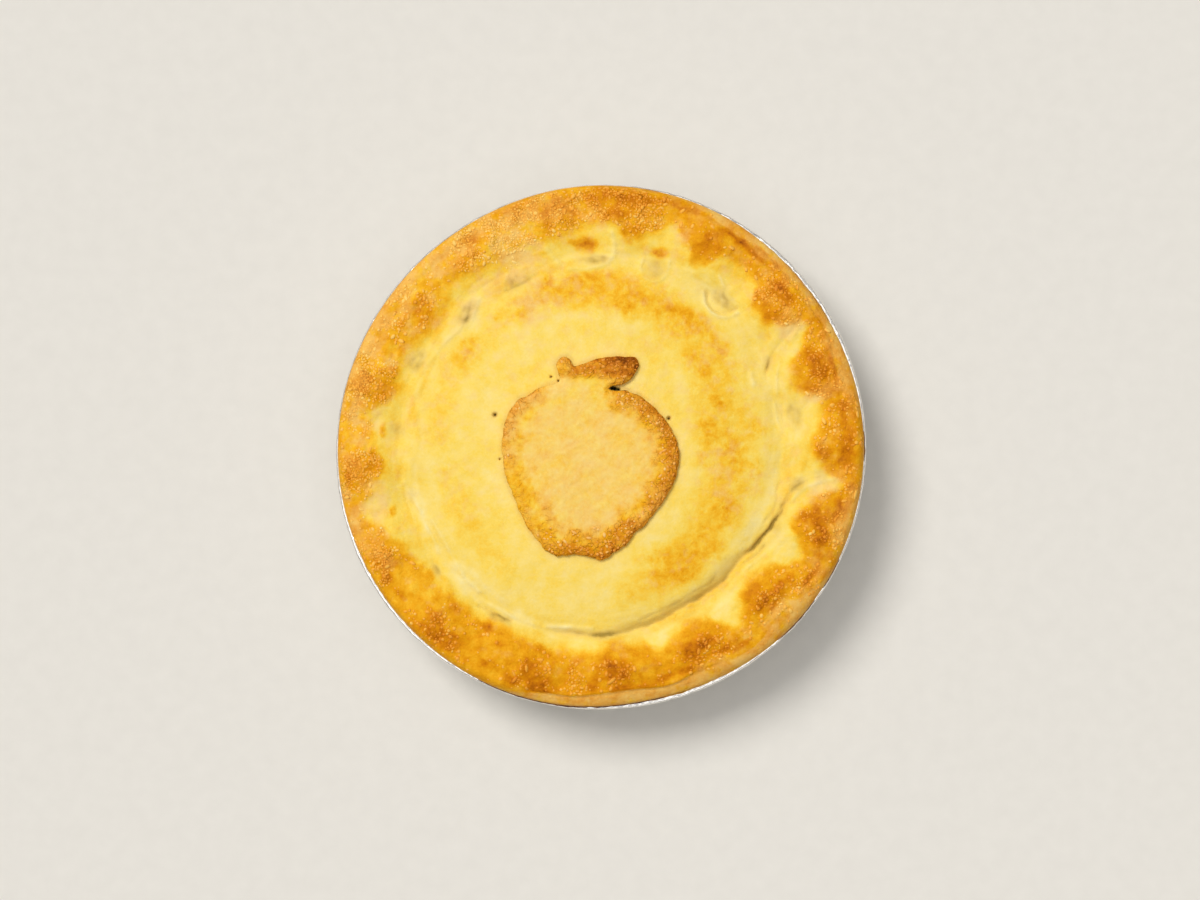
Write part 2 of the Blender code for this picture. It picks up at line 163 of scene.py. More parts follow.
VENTS = (  # x, y and radius in mm
    (-35.9, 10.9, 0.62), (23, 9.7, 0.55), (3.6, 20, 0.7), (4.8, 19.7, 0.6), (6, 19.4, 0.45),
    (-16.9, 23.8, 0.35), (-14.4, 22.4, 0.3), (-34.3, -4.1, 0.3),
)  # fmt: skip
VENT_DEPTH = 2.4 * MM

# Hand-rolled dough is never quite smooth: hills so many mm apart, and their height in mm. On the top they are
# higher on the rim, by the third number. The last number picks the layer of noise.
DOUGH_GRAIN = ((3.6, 0.10, 0.26, 1.0), (1.7, 0.07, 0.22, 2.0))
SIDE_GRAIN = ((5.0, 0.30, 4.0), (2.0, 0.16, 8.0))
WRINKLE_HEIGHT, WRINKLE_SPACING = 0.16 * MM, 1.5 * MM
WRINKLES_ROUND = 14.0  # the more, the shorter each wrinkle is

# ---------------------------------------------------------------- browning, 0 raw to 1 burnt

LID_BAKE, ORANGE = 0.20, 0.44  # of the lid, and added by the orange of the rim

# How far out the orange starts: angle and distance in mm
ORANGE_STARTS = (
    (0, 70.8), (8, 76), (13, 75.5), (17, 68.2), (23, 70.5), (28, 77), (30.5, 81), (33.5, 74), (35.5, 72),
    (38, 69.2), (43, 69), (47.5, 77), (52, 78), (57, 76.5), (60.5, 71), (63.5, 69.5), (67, 74.5), (72, 79),
    (77.5, 74), (82, 70.8), (87, 75.5), (93, 76), (97, 73.5), (103, 72), (109, 72.5), (115, 72.5),
    (121, 72.5), (126, 72), (131, 74), (137, 70.2), (142, 67.5), (149, 69.5), (153.5, 73), (157.5, 74),
    (163, 71), (168, 73), (171.5, 80), (176, 76), (180, 76.5), (185, 74), (190.5, 79), (196, 84), (201, 79),
    (207, 74), (213, 73), (218, 72.5), (227, 70.3), (235, 70.8), (242, 68.6), (252, 70), (266, 70),
    (274, 66), (282, 68), (286, 72.5), (290, 69), (296, 65.6), (302, 69), (304.5, 71.8), (308, 75.8),
    (311.5, 72.5), (314, 68), (319, 66.8), (325, 69.6), (328.5, 75.5), (331.5, 78.5), (334.5, 73.5),
    (338, 69.7), (341, 69.2), (346, 74.5), (351, 82), (355, 75), (360, 70.8),
)  # fmt: skip

# The back left is browned less, and so painted lighter on that side: angle, and how far the browning went
# there
BROWNING_BY_ANGLE = (
    (0, 1.03), (88, 0.98), (103, 0.71), (135, 0.62), (168, 0.66), (190, 0.77), (215, 0.88), (232, 1.02),
    (360, 1.03),
)  # fmt: skip

# Browned spots: angle, distance in mm, half-span in degrees, half-depth in mm, and strength
RIM_SPOTS = (
    (2, 83.5, 4.5, 2.8, 0.5), (9.5, 82.9, 3.5, 2, 0.45), (20, 79.1, 5, 3.6, 0.52),
    (19, 83.3, 4.5, 1.1, 0.45), (24, 76.7, 3, 3, 0.32), (16, 73.3, 3, 3.2, 0.28), (40.5, 81, 5, 3.4, 0.6),
    (38.5, 73.5, 3, 3.6, 0.34), (43, 75.7, 2.6, 3.6, 0.18), (54, 84.2, 8, 1.1, 0.5),
    (62, 78.4, 4, 5.6, 0.36), (73.5, 68.9, 2.9, 2.2, 0.52), (83, 85.3, 7, 3.6, 0.46),
    (82, 73.8, 4, 3.4, 0.16), (86, 79.1, 3, 3, 0.36), (91, 85.3, 3.5, 3.6, 0.45), (94, 69.2, 3.6, 2.9, 0.6),
    (97.5, 70.8, 2, 1.5, 0.42), (98, 79.1, 2.2, 4.2, 0.38), (103.5, 79.6, 2, 5.6, 0.42),
    (101, 84.6, 5, 3.4, 0.38), (108, 85.5, 4, 2.6, 0.3), (113, 86.5, 4, 1.8, 0.25),
    (121.5, 83.5, 2.4, 3.6, 0.42), (123.5, 79, 2, 2.6, 0.44), (128, 77.5, 4, 4, 0.26),
    (135.5, 78.4, 1.6, 1.1, 0.38), (142.5, 77, 3.6, 5, 0.58), (140.5, 80.1, 2, 2, 0.44),
    (147.5, 79.8, 2.4, 1.6, 0.48), (146, 73.3, 3.6, 2.6, 0.34), (152.5, 79.8, 1.1, 2.6, 0.4),
    (154, 75, 1.9, 2, 0.5), (161, 76.7, 1.6, 4, 0.36), (164.5, 75.7, 3, 3.8, 0.42),
    (164.5, 83.5, 3.4, 4.4, 0.44), (167, 79.1, 2, 4, 0.28), (175.5, 74, 2.2, 1.1, 0.4),
    (177, 81.8, 2.5, 2, 0.3), (185, 83.5, 4, 5, 0.36), (184, 76.7, 3.5, 3.2, 0.4),
    (187, 86.5, 2.5, 1.6, 0.36), (197, 73.7, 1.4, 1.2, 0.4), (207.5, 83.5, 3.5, 4.2, 0.46),
    (211.5, 84.6, 1.6, 3, 0.44), (210, 78.4, 2, 2.2, 0.18), (216.7, 72.3, 1.7, 1.9, 0.46),
    (216, 85, 2.4, 1.8, 0.32), (228, 86, 5.5, 2.4, 0.55), (231, 82.9, 4, 2.6, 0.5), (226, 81.2, 3, 3, 0.42),
    (226, 73.5, 3.5, 2.6, 0.16), (232, 80.8, 1.6, 1.2, 0.46), (237.7, 72.4, 2, 1.7, 0.54),
    (242, 75.7, 1.5, 1.8, 0.4), (241.5, 82.9, 1.6, 1.4, 0.4), (249, 85, 2.2, 2.6, 0.5),
    (251.5, 79.1, 3, 4.6, 0.5), (256, 85.6, 3.5, 2.2, 0.6), (254.5, 82.5, 3, 2.6, 0.5),
    (253, 71.8, 2.2, 2.2, 0.36), (263, 75.7, 2, 4, 0.1), (268.5, 81.2, 1.8, 3.6, 0.46),
    (274, 77, 4.5, 4, 0.58), (272, 73.3, 3.5, 3, 0.46), (280, 82.7, 5, 1.2, 0.44),
    (275, 81.8, 4, 1.6, 0.42), (285.5, 81.6, 2.8, 1.5, 0.42), (291, 81, 2.2, 1.5, 0.5),
    (295.5, 74.3, 4, 3.4, 0.55), (293, 77, 4, 3, 0.44), (299, 75.7, 2.2, 2.6, 0.46),
    (302, 80.3, 2.4, 1.9, 0.52), (305, 82.7, 3.4, 1.2, 0.58), (296, 79.6, 5, 1.1, 0.32),
    (313.5, 76.7, 2, 3.6, 0.16), (317, 75.5, 3, 2.3, 0.62), (321.5, 77, 3, 2, 0.56),
    (325, 78.4, 2, 1.9, 0.48), (318, 79.4, 3.5, 1.1, 0.38), (316, 71.6, 3.2, 2.6, 0.32),
    (327, 83.4, 2.4, 1.2, 0.52), (330, 84.2, 2, 1, 0.46), (338, 80.8, 3, 3, 0.56),
    (341.5, 77.5, 3.2, 4.2, 0.56), (345, 82.9, 4, 1.7, 0.46), (347, 85.8, 4, 1.6, 0.22),
    (341, 72.6, 2.4, 2.3, 0.34), (357, 83.4, 3, 3.2, 0.5), (358.5, 75.7, 2, 3.6, 0.3),
    (285, 85.5, 6, 1.6, 0.3), (7, 86.5, 4, 1.8, 0.3), (258, 83, 3, 2.4, 0.3), (117, 71, 5, 3, 0.14),
    (137, 68, 4, 3, 0.1), (58, 83.6, 4, 2, 0.3), (72, 86.4, 9, 1.8, 0.34),
)  # fmt: skip
LID_ZONES = (
    (18, 43, 28, 12, 0.18), (50, 50, 22, 9, 0.14), (82, 53, 30, 8, 0.26), (335, 45, 30, 10, 0.22),
    (303, 48, 15, 8, 0.3), (160, 56, 26, 5, 0.1), (208, 52, 26, 7, 0.1), (285, 50, 14, 7, 0.1),
    (112, 64.5, 20, 4.5, 0.16), (302, 62.5, 24, 3.5, 0.16), (345, 63.5, 18, 3.5, 0.14),
    (160, 65, 16, 3, 0.1), (112, 55, 22, 8, 0.1),
)  # fmt: skip
LID_SPOTS = (
    (304, 52, 6, 3.6, 0.15), (333, 46.5, 7, 5, 0.15), (357, 44.5, 7, 5, 0.14), (8, 37, 9, 4, 0.2),
    (22, 43, 5, 3.5, 0.2), (38, 43.5, 4, 2.5, 0.2), (45, 43.5, 4, 2.2, 0.22), (40, 53, 8, 3, 0.14),
    (52, 53.5, 7, 4, 0.16), (60, 53, 6, 2.6, 0.22), (67, 48.8, 2.6, 1.6, 0.22), (77, 52.5, 6, 3.5, 0.14),
    (81, 48, 5, 3, 0.16), (90, 58, 6, 2.4, 0.16), (97, 57.6, 6, 2.2, 0.2), (108, 58.5, 3, 2.4, 0.24),
    (106, 53.5, 5, 3, 0.14), (120, 54, 9, 5, 0.12), (129, 56.5, 2, 1.4, 0.18), (144, 57, 6, 3, 0.18),
    (352, 52.7, 6, 4, 0.15), (317, 52.5, 6, 4, 0.16), (7, 53, 5, 4, 0.15), (355, 34.5, 8, 3.5, 0.14),
    (321, 46.5, 6, 4, 0.12), (77, 46.5, 4, 3.5, 0.15), (43, 40.5, 6, 3, 0.12), (147, 53, 6, 4.5, 0.13),
    (27, 55.5, 5, 3, 0.1), (295, 40, 9, 4, 0.14), (112, 56, 5, 4, 0.12), (57, 46.5, 5, 3, 0.12),
)  # fmt: skip
# Where the dough was thinly glazed, so that it has dried to a dull peach tan
PEACH_SPOTS = (
    (14, 80, 2.6, 9, 0.8), (33.5, 77, 3.2, 9, 0.95), (47, 74, 3, 3.4, 0.7), (42, 87, 32, 2.6, 0.8),
    (70, 79, 4, 4, 0.6), (110, 84, 14, 6, 0.85), (114, 72, 8, 6, 0.75), (130, 82.5, 9, 6, 0.85),
    (145, 83.5, 6, 3.6, 1), (158, 82, 3, 8, 0.8), (164.5, 84.5, 3.5, 3.6, 0.85), (173, 82, 4, 7, 0.85),
    (150, 86, 18, 4, 0.9), (113, 68, 9, 5, 0.6), (128, 66, 9, 4, 0.5), (308, 64, 36, 3, 0.3),
    (185, 84, 4, 4, 0.45), (196, 81, 6, 8, 0.65), (207, 83, 4, 4.6, 0.6), (226, 79, 3, 3, 0.35),
    (264, 79, 2.6, 7, 0.5), (331, 82, 3, 5, 0.75), (349, 77, 4, 5, 0.6), (308, 80.5, 3, 4, 0.5),
    (116, 66, 7, 4, 0.6), (135, 64, 6, 3, 0.5), (304, 48, 12, 8, 0.25), (345, 41, 20, 6, 0.2),
    (340, 87.5, 9, 3, 0.85), (45, 87.5, 12, 2.4, 0.6), (60, 87, 9, 2.6, 0.8), (112, 52, 18, 9, 0.6),
    (115, 80, 12, 5, 0.6), (143, 88.2, 12, 2.6, 0.85), (165, 88.8, 14, 2.4, 0.7), (192, 88.6, 14, 3, 0.7),
    (193, 79, 4, 6, 0.5), (344, 85, 12, 4, 0.6), (325, 84, 9, 4, 0.6), (299, 83.2, 7, 3, 0.9),
    (20, 86, 10, 3.4, 0.95), (319, 83.5, 5, 3.6, 1), (328, 86.5, 6, 2.4, 0.7), (152, 84, 5, 3.5, 0.8),
    (122, 86.5, 6, 2.6, 0.8), (145, 86.8, 6, 2.4, 0.8), (270, 86.8, 7, 2.4, 0.8), (317, 82, 5, 4, 0.8),
    (172, 83.5, 4, 3, 0.6), (92.5, 80, 3.5, 4, 0.5),
)  # fmt: skip

# Where the dough has stayed palest
PALE_SPOTS = (
    (10, 71, 5, 4, 0.3), (28, 68.5, 3, 4, 0.45), (49, 69, 4, 3, 0.4), (75, 70.5, 2, 3, 0.5),
    (101, 65.6, 6, 3, 1), (104, 69, 2, 3.6, 0.6), (131, 65.5, 4, 2, 0.5), (158, 68.5, 6, 2.4, 0.5),
    (197, 65.5, 9, 3, 0.9), (194, 76, 3, 6, 0.5), (221, 66, 10, 2.6, 0.7), (245, 64.5, 9, 3, 0.6),
    (257, 62.6, 5, 1.6, 0.8), (285, 68, 5, 2.6, 0.8), (308, 69, 5, 4.6, 1), (308, 76, 2.4, 4, 0.7),
    (331, 70.5, 5, 4.6, 0.95), (352, 73, 3.6, 6, 0.9), (24, 56, 3, 1.6, 0.6), (340, 60, 12, 3, 0.4),
    (20, 86.5, 9, 2.6, 0.9), (60, 87, 8, 2.6, 0.9), (342, 87.5, 9, 2.6, 1), (319, 83.8, 5, 3.4, 1),
    (299, 83.4, 7, 2.6, 0.85), (241, 77.4, 6, 2.8, 1), (223, 74.5, 4, 2.8, 0.8), (215, 78.5, 6, 3.6, 0.8),
    (147, 71.4, 4, 2.6, 0.7), (252, 71.5, 4, 2.6, 0.7), (357, 83.4, 3, 2.4, 0.8), (207, 83.4, 4, 2.6, 0.6),
    (328, 58, 9, 4, 0.9), (345, 61.5, 8, 3, 0.8), (312, 79.5, 3, 3, 0.8), (112, 77, 8, 5, 0.7),
    (122, 86.5, 6, 2.6, 0.8), (157, 77.5, 4, 3, 0.7), (92.5, 80, 3, 3, 0.6), (179, 81.5, 4, 3.4, 0.7),
    (227, 62, 8, 3, 0.8), (58, 80.5, 4, 2.8, 0.7),
)  # fmt: skip

# The thumbs' tips left thin dough, soaked by juice from below and darkened by painted shade: as the spots
# above
SOAKED_SHADED_SPOTS = (
    (9.5, 66.5, 4.5, 3.6, 0.4), (26.5, 63, 3.4, 2.4, 0.22), (50.5, 65.2, 5, 3.4, 0.45),
    (73, 63, 3.8, 4.2, 0.36), (92, 64, 6, 2.2, 0.46), (117, 63.4, 6, 3.2, 0.42),
    (134.5, 64.3, 5, 3.6, 0.42), (137, 62.6, 2.6, 1.6, 0.25), (155, 69, 3.8, 3.4, 0.52),
    (175.5, 70, 3, 3.2, 0.44), (194, 66.5, 3, 2, 0.25), (217, 70.2, 2.2, 1.7, 0.42),
    (239, 67.7, 4.5, 1.6, 0.52), (262, 64.6, 4.5, 1.9, 0.12), (271, 64, 5, 1.6, 0.4), (349, 68, 3, 4, 0.42),
    (336, 64, 13, 3.4, 0.24), (352, 76, 2, 4, 0.3),
)  # fmt: skip

# Where the glaze has blistered: from and to which angle, and how thickly
BLISTERED = (
    (74, 128, 1), (135, 152, 0.35), (158, 170, 0.95), (171, 178, 0.4), (180, 192, 0.95), (200, 214, 0.9),
    (220, 235, 0.25), (245, 258, 0.15), (258, 268, 0.4), (34, 47, 0.4), (0, 13, 0.3), (270, 280, 0.2),
    (290, 306, 0.25), (312, 330, 0.4), (335, 352, 0.2), (14, 30, 0.25),
)  # fmt: skip

# Round the pastry apple, by the direction from the fruit's middle: width of the toasted band in mm, how brown
# it is, and how dull
APPLE_BAND = (
    (-40, 5.6), (-15, 5), (20, 5.2), (55, 5.2), (75, 3.8), (90, 0.8), (112, 0.8), (125, 3.8), (160, 4.2),
    (190, 6.6), (220, 7), (240, 6), (262, 6), (300, 5.6), (320, 5.6),
)  # fmt: skip
APPLE_TOAST = (
    (-40, 0.62), (-20, 0.66), (15, 0.76), (50, 0.68), (72, 0.6), (90, 0.28), (112, 0.28), (128, 0.58),
    (150, 0.54), (170, 0.46), (205, 0.46), (228, 0.5), (245, 0.64), (262, 0.72), (285, 0.74), (300, 0.76),
    (320, 0.66),
)  # fmt: skip
APPLE_DULL = (
    (-40, 0.6), (0, 0.45), (60, 0.4), (100, 0.45), (130, 0.9), (165, 0.75), (185, 0.2), (220, 0.1),
    (280, 0.3), (320, 0.6),
)  # fmt: skip

# Where juice has boiled over between the crust and the tin: from and to which angle, and half its width in mm
JUICE_LINES = ((242, 284, 0.46), (312.5, 324.5, 0.40), (327.5, 335, 0.36), (357, 363.5, 0.38))
JUICE_OUT, JUICE_UP = 0.10 * MM, 0.25 * MM  # from the crust's edge, and from the tin's rim
JUICE_STEP, JUICE_SIDES = 0.25, 8  # degrees between its sections, and their corners

APPLE_BAKE = 0.285  # of its middle
FRUIT_MIDDLE = (-3.5 * MM, -9.0 * MM)
RAGGED = 0.42 * MM  # how far the knife has dragged the pastry apple's edge

PLEATS, PLEAT_DEPTH = 168, 0.32 * MM  # round the tin's wall
CRINKLE = 0.30 * MM  # height of the crumples in the rolled rim

# ---------------------------------------------------------------- how fine the meshes are

COLUMNS, SIDE_ROWS, TIN_COLUMNS = 620, 14, 1176
# Rings of the lid and the rim, from, to and how far apart in mm: coarse under the pastry apple, and fine
# round it and from the lid's edge outwards
TOP_SPANS = ((2.0, 19.0, 2.5), (19.0, 35.5, 0.42), (35.5, 56.8, 0.74), (56.8, 68.0, 0.42), (68.0, 86.2, 0.55))
CRUST_TRIES, APPLE_TRIES = 68000, 16000  # places tried for a blister
CRUST_BLISTERS = 2900  # the most that are kept
BLISTER_RINGS = ((1.0, -0.40), (0.84, 0.18), (0.48, 0.52))  # of a round blister: radius and height
BLISTER_TOP, BLISTER_FLATNESS = 0.64, 0.55
BLISTER_STRETCH = (0.20, 0.50)  # how much longer than wide they are: the mean and the spread
BLISTER_BAND = (66 * MM, 88.4 * MM)  # how far out on the crust they are tried
THINNING_CELL = 1.2 * MM  # blisters are compared with those in the cells next to theirs


def smooth(value, low, high):
    """0 below low, 1 above high, and an S-curve between."""
    t = np.clip((value - low) / (high - low), 0.0, 1.0)
    return t * t * (3 - 2 * t)


def bell(x):
    return np.exp(-x * x)


def polar(x, y):
    """Angle in degrees, and distance from the middle."""
    return np.degrees(np.arctan2(y, x)), np.hypot(x, y)


def flat(radius, angle):
    """x and y of the points at this distance and angle."""
    turn = np.radians(angle)
    return radius * np.cos(turn), radius * np.sin(turn)


def turned_by(angle):
    """The same angle, from -180 to 180."""
    return (angle + 180.0) % 360.0 - 180.0


def uneven(x, y, size, layer=0.0):
    """Smooth random hills from -1 to 1, about this far apart. Another layer gives other hills."""
    x, y = np.broadcast_arrays(x, y)
    spots = zip((x / size).ravel(), (y / size).ravel())
    return np.array([noise.noise((across, along, layer)) for across, along in spots]).reshape(x.shape)


def along_path(path, angle):
    """Reads the value at each angle off a list of (angle, value)."""
    angles, values = zip(*path)
    middle = 0.5 * (angles[0] + angles[-1])
    return np.interp(turned_by(angle - middle), np.array(angles) - middle, values)


def between(angle, start, end, blur=7.0):
    """1 from the start angle to the end angle, fading to 0 just outside."""
    half = 0.5 * (end - start)
    off = np.abs(turned_by(angle - start - half))
    return 1 - smooth(off, half - blur, half + blur)


def path_distance(x, y, corners):
    """From each point to the nearest point of a path through the corners."""
    nearest = np.full(x.shape, np.inf)
    for (ax, ay), (bx, by) in zip(corners, corners[1:]):
        dx, dy = bx - ax, by - ay
        t = np.clip(((x - ax) * dx + (y - ay) * dy) / (dx * dx + dy * dy), 0, 1)
        nearest = np.minimum(nearest, np.hypot(x - ax - t * dx, y - ay - t * dy))
    return nearest


def edge_distance(x, y, loop):
    """From each point to the nearest edge of the closed loop."""
    corners = [tuple(p) for p in loop]
    return path_distance(x, y, corners + corners[:1])


# ---------------------------------------------------------------- form of the crust


def pressed(angle):
    return sum(depth * bell(turned_by(angle - at) / PRESS_HALF_WIDTH) for at, depth in PRESSES)


def bent(angle):
    """How far outwards the tin's rim has been bent."""
    return sum(mm * MM * np.cos(waves * np.radians(angle - at)) for waves, mm, at in RIM_BENDS)


def lapped(angle):
    """How clearly the side shows below the lid's cut edge, and how sharp that edge is."""
    clear = sum(share * between(angle, start, end) for start, end, share, _ in LAPS)
    return clear, sum(sharp * share * between(angle, start, end) for start, end, share, sharp in LAPS)


def shoulder_radius(angle):
    lean = sum(share * bell(turned_by(angle - at) / width) for at, width, share in LEANS)
    return SHOULDER_RADIUS + bent(angle) - lean * (LEAN - PRESS_SPREAD * pressed(angle))


def skirt_radius(angle):
    shrink = sum(mm * bell(turned_by(angle - at) / width) for at, width, mm in SHRINKS)
    return SKIRT_RADIUS - shrink * MM + bent(angle)


def crust_plan(reach, angle):
    """Where the point of this reach and angle is, seen from above."""
    share = smooth(reach, MOAT_RADIUS, SHOULDER_RADIUS)
    x, y = flat(reach + share * (shoulder_radius(angle) - SHOULDER_RADIUS), angle)
    return x + LID_CENTRE[0] * (1 - share), y + LID_CENTRE[1] * (1 - share)


def crust_form(reach, angle):
    """Height of the crust's top without its finer shapes, as the solid has it."""
    press = pressed(angle)
    dome = LID_RISE * (1 - np.minimum(1.0, reach / MOAT_RADIUS) ** LID_SQUARENESS)
    outer = smooth(reach, CREST_RADIUS, SHOULDER_RADIUS)
    low = 1 - LOW_SHARE * bell(turned_by(angle - LOW_ANGLE) / LOW_SPAN)
    ridge = RIM_RISE * low - PRESS_DEPTH * press * (1 - PRESS_FADE * outer)
    rim = smooth(reach, RIM_START, CREST_RADIUS) * ridge
    dent = DENT_DEPTH * press * bell((reach - DENT_RADIUS) / DENT_REACH)
    return MOAT_HEIGHT + dome + rim - dent - SHOULDER_DROP * outer


def fold_depth(x, y):
    """The fold at the front right: steep on the rim's side, gentle on the lid's."""
    angle, radius = polar(x, y)
    wander = 0.55 * MM * uneven(x, y, 4 * MM, 3.0) + 0.25 * MM * uneven(x, y, 1.8 * MM, 3.5)
    off = radius - along_path(FOLD_PATH, angle) * MM - wander
    soft = along_path(FOLD_SPREAD, angle) * (1 + 0.5 * uneven(x, y, 6 * MM, 3.8))
    width = np.where(off > 0, FOLD_STEEP, soft) * FOLD_WIDTH
    return FOLD_DEPTH * along_path(FOLD_STRENGTH, angle) * bell(off / width)


def crease_depth(x, y):
    """Depth of the small creases, uneven along each. Only the points near a crease are worked out."""
    depth = np.zeros(np.shape(x))
    for deep, width, path in CREASES:
        corners = [(r * MM * math.cos(math.radians(a)), r * MM * math.sin(math.radians(a))) for a, r in path]
        near = np.hypot(x - corners[0][0], y - corners[0][1]) < CREASE_REACH
        off = path_distance(x[near], y[near], corners)
        along = 0.75 + 0.6 * uneven(x[near], y[near], 3 * MM, 15.0)
        depth[near] += deep * MM * bell(off / (width * MM)) * along
    return depth


def wrinkles(radius, angle):
    """Fine wrinkles that run along the rim, most of all where it meets the lid."""
    around_x, around_y = flat(WRINKLES_ROUND, angle)
    spots = zip(around_x.ravel(), around_y.ravel(), (radius / WRINKLE_SPACING).ravel())
    lines = np.array([noise.noise(spot) for spot in spots]).reshape(radius.shape)
    return lines * (0.25 + bell((radius - 66 * MM) / (5 * MM)))


def crust_top(reach, angle):
    """Points of the crust's top, as three arrays."""
    x, y = crust_plan(reach, angle)
    on_rim = smooth(reach, MOAT_RADIUS, CREST_RADIUS)
    z = crust_form(reach, angle)
    z += WAVE_HEIGHT * uneven(x, y, WAVE_LENGTH, 0.5) + LUMP_HEIGHT * uneven(x, y, LUMP_LENGTH, 0.5) * on_rim
    z -= fold_depth(x, y) + crease_depth(x, y)
    z += WRINKLE_HEIGHT * wrinkles(np.hypot(x, y), angle)
    for spacing, on_lid, more, layer in DOUGH_GRAIN:
        z += (on_lid + more * on_rim) * MM * uneven(x, y, spacing * MM, layer)
    for vent in pricked(x, y):
        z -= VENT_DEPTH * vent
    return x, y, z


def pricked(x, y):
    """For each vent, how near its middle the points are: 1 in the middle, fading to 0 outside."""
    return [bell(np.hypot(x - at_x * MM, y - at_y * MM) / (radius * MM)) for at_x, at_y, radius in VENTS]


def lid_height(x, y):
    """Height of the lid at any point inside the moat."""
    angle, reach = polar(x - LID_CENTRE[0], y - LID_CENTRE[1])
    return crust_form(reach, angle) + WAVE_HEIGHT * uneven(x, y, WAVE_LENGTH, 0.5)


# ---------------------------------------------------------------- browning of the crust


def wandered(x, y, far, layer):
    """The points moved about at random, so that what is drawn round them gets a ragged edge."""
    moved_x = x + far * (uneven(x, y, 6 * MM, layer) + 0.5 * uneven(x, y, 2.5 * MM, layer + 0.3))
    moved_y = y + far * (uneven(x, y, 6 * MM, layer + 0.5) + 0.5 * uneven(x, y, 2.5 * MM, layer + 0.8))
    return moved_x, moved_y


def spotted(x, y, spots, grain=0.55):
    """How strongly the spots of a list cover each point. Spots that overlap add up, but never past 1."""
    angle, radius = polar(x, y)
    bare = np.ones(x.shape)
    mottle = 1 + grain * uneven(x, y, 2.2 * MM, 30.0) + 0.6 * grain * uneven(x, y, 1.1 * MM, 31.0)
    for at, distance, half_span, half_depth, strength in spots:
        off = np.hypot(turned_by(angle - at) / half_span, (radius - distance * MM) / (half_depth * MM))
        bare *= 1 - np.clip(strength * mottle, 0, 1) * (1 - smooth(off, 0.3, 1.3))
    return 1 - bare


def orange_start(angle):
    """Distance at which the orange of the rim starts: near on each ridge, and far in each press."""
    at, start = np.array(ORANGE_STARTS).T
    angle = angle % 360
    k = np.clip(np.searchsorted(at, angle, side="right") - 1, 0, len(at) - 2)
    t = (angle - at[k]) / (at[k + 1] - at[k])
    return (start[k] + (start[k + 1] - start[k]) * t * t * (3 - 2 * t)) * MM


def crust_browning(x, y):
    """From 0 raw to 1 burnt, over the whole of the top. The raised lips carry a painted highlight as well as
    paler dough, and the back left is painted lighter.
    """
    angle, radius = polar(x, y)
    streaks = wrinkles(radius, angle)
    moved_x, moved_y = wandered(x, y, 1.1 * MM, 5.0)
    angle, radius = polar(moved_x, moved_y)
    # the lid: pale, a little browner towards the rim, with broad zones and small flecks
    lid = LID_BAKE + 0.07 * uneven(x, y, 14 * MM, 7.0) + 0.06 * uneven(x, y, 4.5 * MM, 7.5) + 0.05 * streaks
    lid += 0.07 * smooth(radius, 64 * MM, 70 * MM)
    zones, flecks = spotted(moved_x, moved_y, LID_ZONES, 0.4), spotted(moved_x, moved_y, LID_SPOTS, 0.9)
    lid = 1 - (1 - np.clip(lid, 0, 1)) * (1 - zones) * (1 - flecks)
    # the rim: a wash of orange, and browner spots on it
    past = radius - orange_start(angle)
    # less browning at the back left paints that side lighter
    browning_by_angle = along_path(BROWNING_BY_ANGLE, angle)
    wash = ORANGE * browning_by_angle * smooth(past, -2.2 * MM, 2.8 * MM) * (1 + 0.30 * uneven(x, y, 3 * MM, 9.0))
    bare = (1 - lid) * (1 - np.clip(wash, 0, 1)) * (1 - browning_by_angle * spotted(moved_x, moved_y, RIM_SPOTS))
    # raised lips are paler: partly less browned dough, partly a painted highlight
    lips = np.clip(-crease_depth(x, y) / MM, 0, 1)
    pale = spotted(moved_x, moved_y, PALE_SPOTS)
    return np.clip(1 - bare - 0.18 * lips - 0.11 * pale, 0.02, 1.0)


def peachiness(x, y):
    """Where the glaze has dried up. The front is glossy all over."""
    glossy = 0.30 * between(polar(x, y)[0], 205, 335, 12)
    return np.clip(spotted(*wandered(x, y, 1.6 * MM, 17.0), PEACH_SPOTS), 0, 1) - glossy


def blistering(x, y, bake, peach):
    """How thickly small bubbles cover the glaze: most on the browned ridges, and in clusters."""
    angle, radius = polar(x, y)
    inner = (71 - 7 * between(angle, 107, 121, 4)) * MM
    shares = sum(share * between(angle, start, end, 2.5) for start, end, share in BLISTERED)
    zone = smooth(radius, inner, inner + 3 * MM) * np.clip(0.05 + shares, 0, 1)
    clusters = smooth(uneven(x, y, 5.5 * MM, 13.0), -0.25, 0.35)
    # at the back the dough has wrinkled instead, just outside the lid
    wrinkled = 0.6 * between(angle, 105, 124, 4) * (1 - smooth(radius, 72 * MM, 77 * MM))
    return zone * smooth(bake + 0.20 * peach, 0.42, 0.68) * (0.10 + 0.90 * clusters) * (1 - wrinkled)


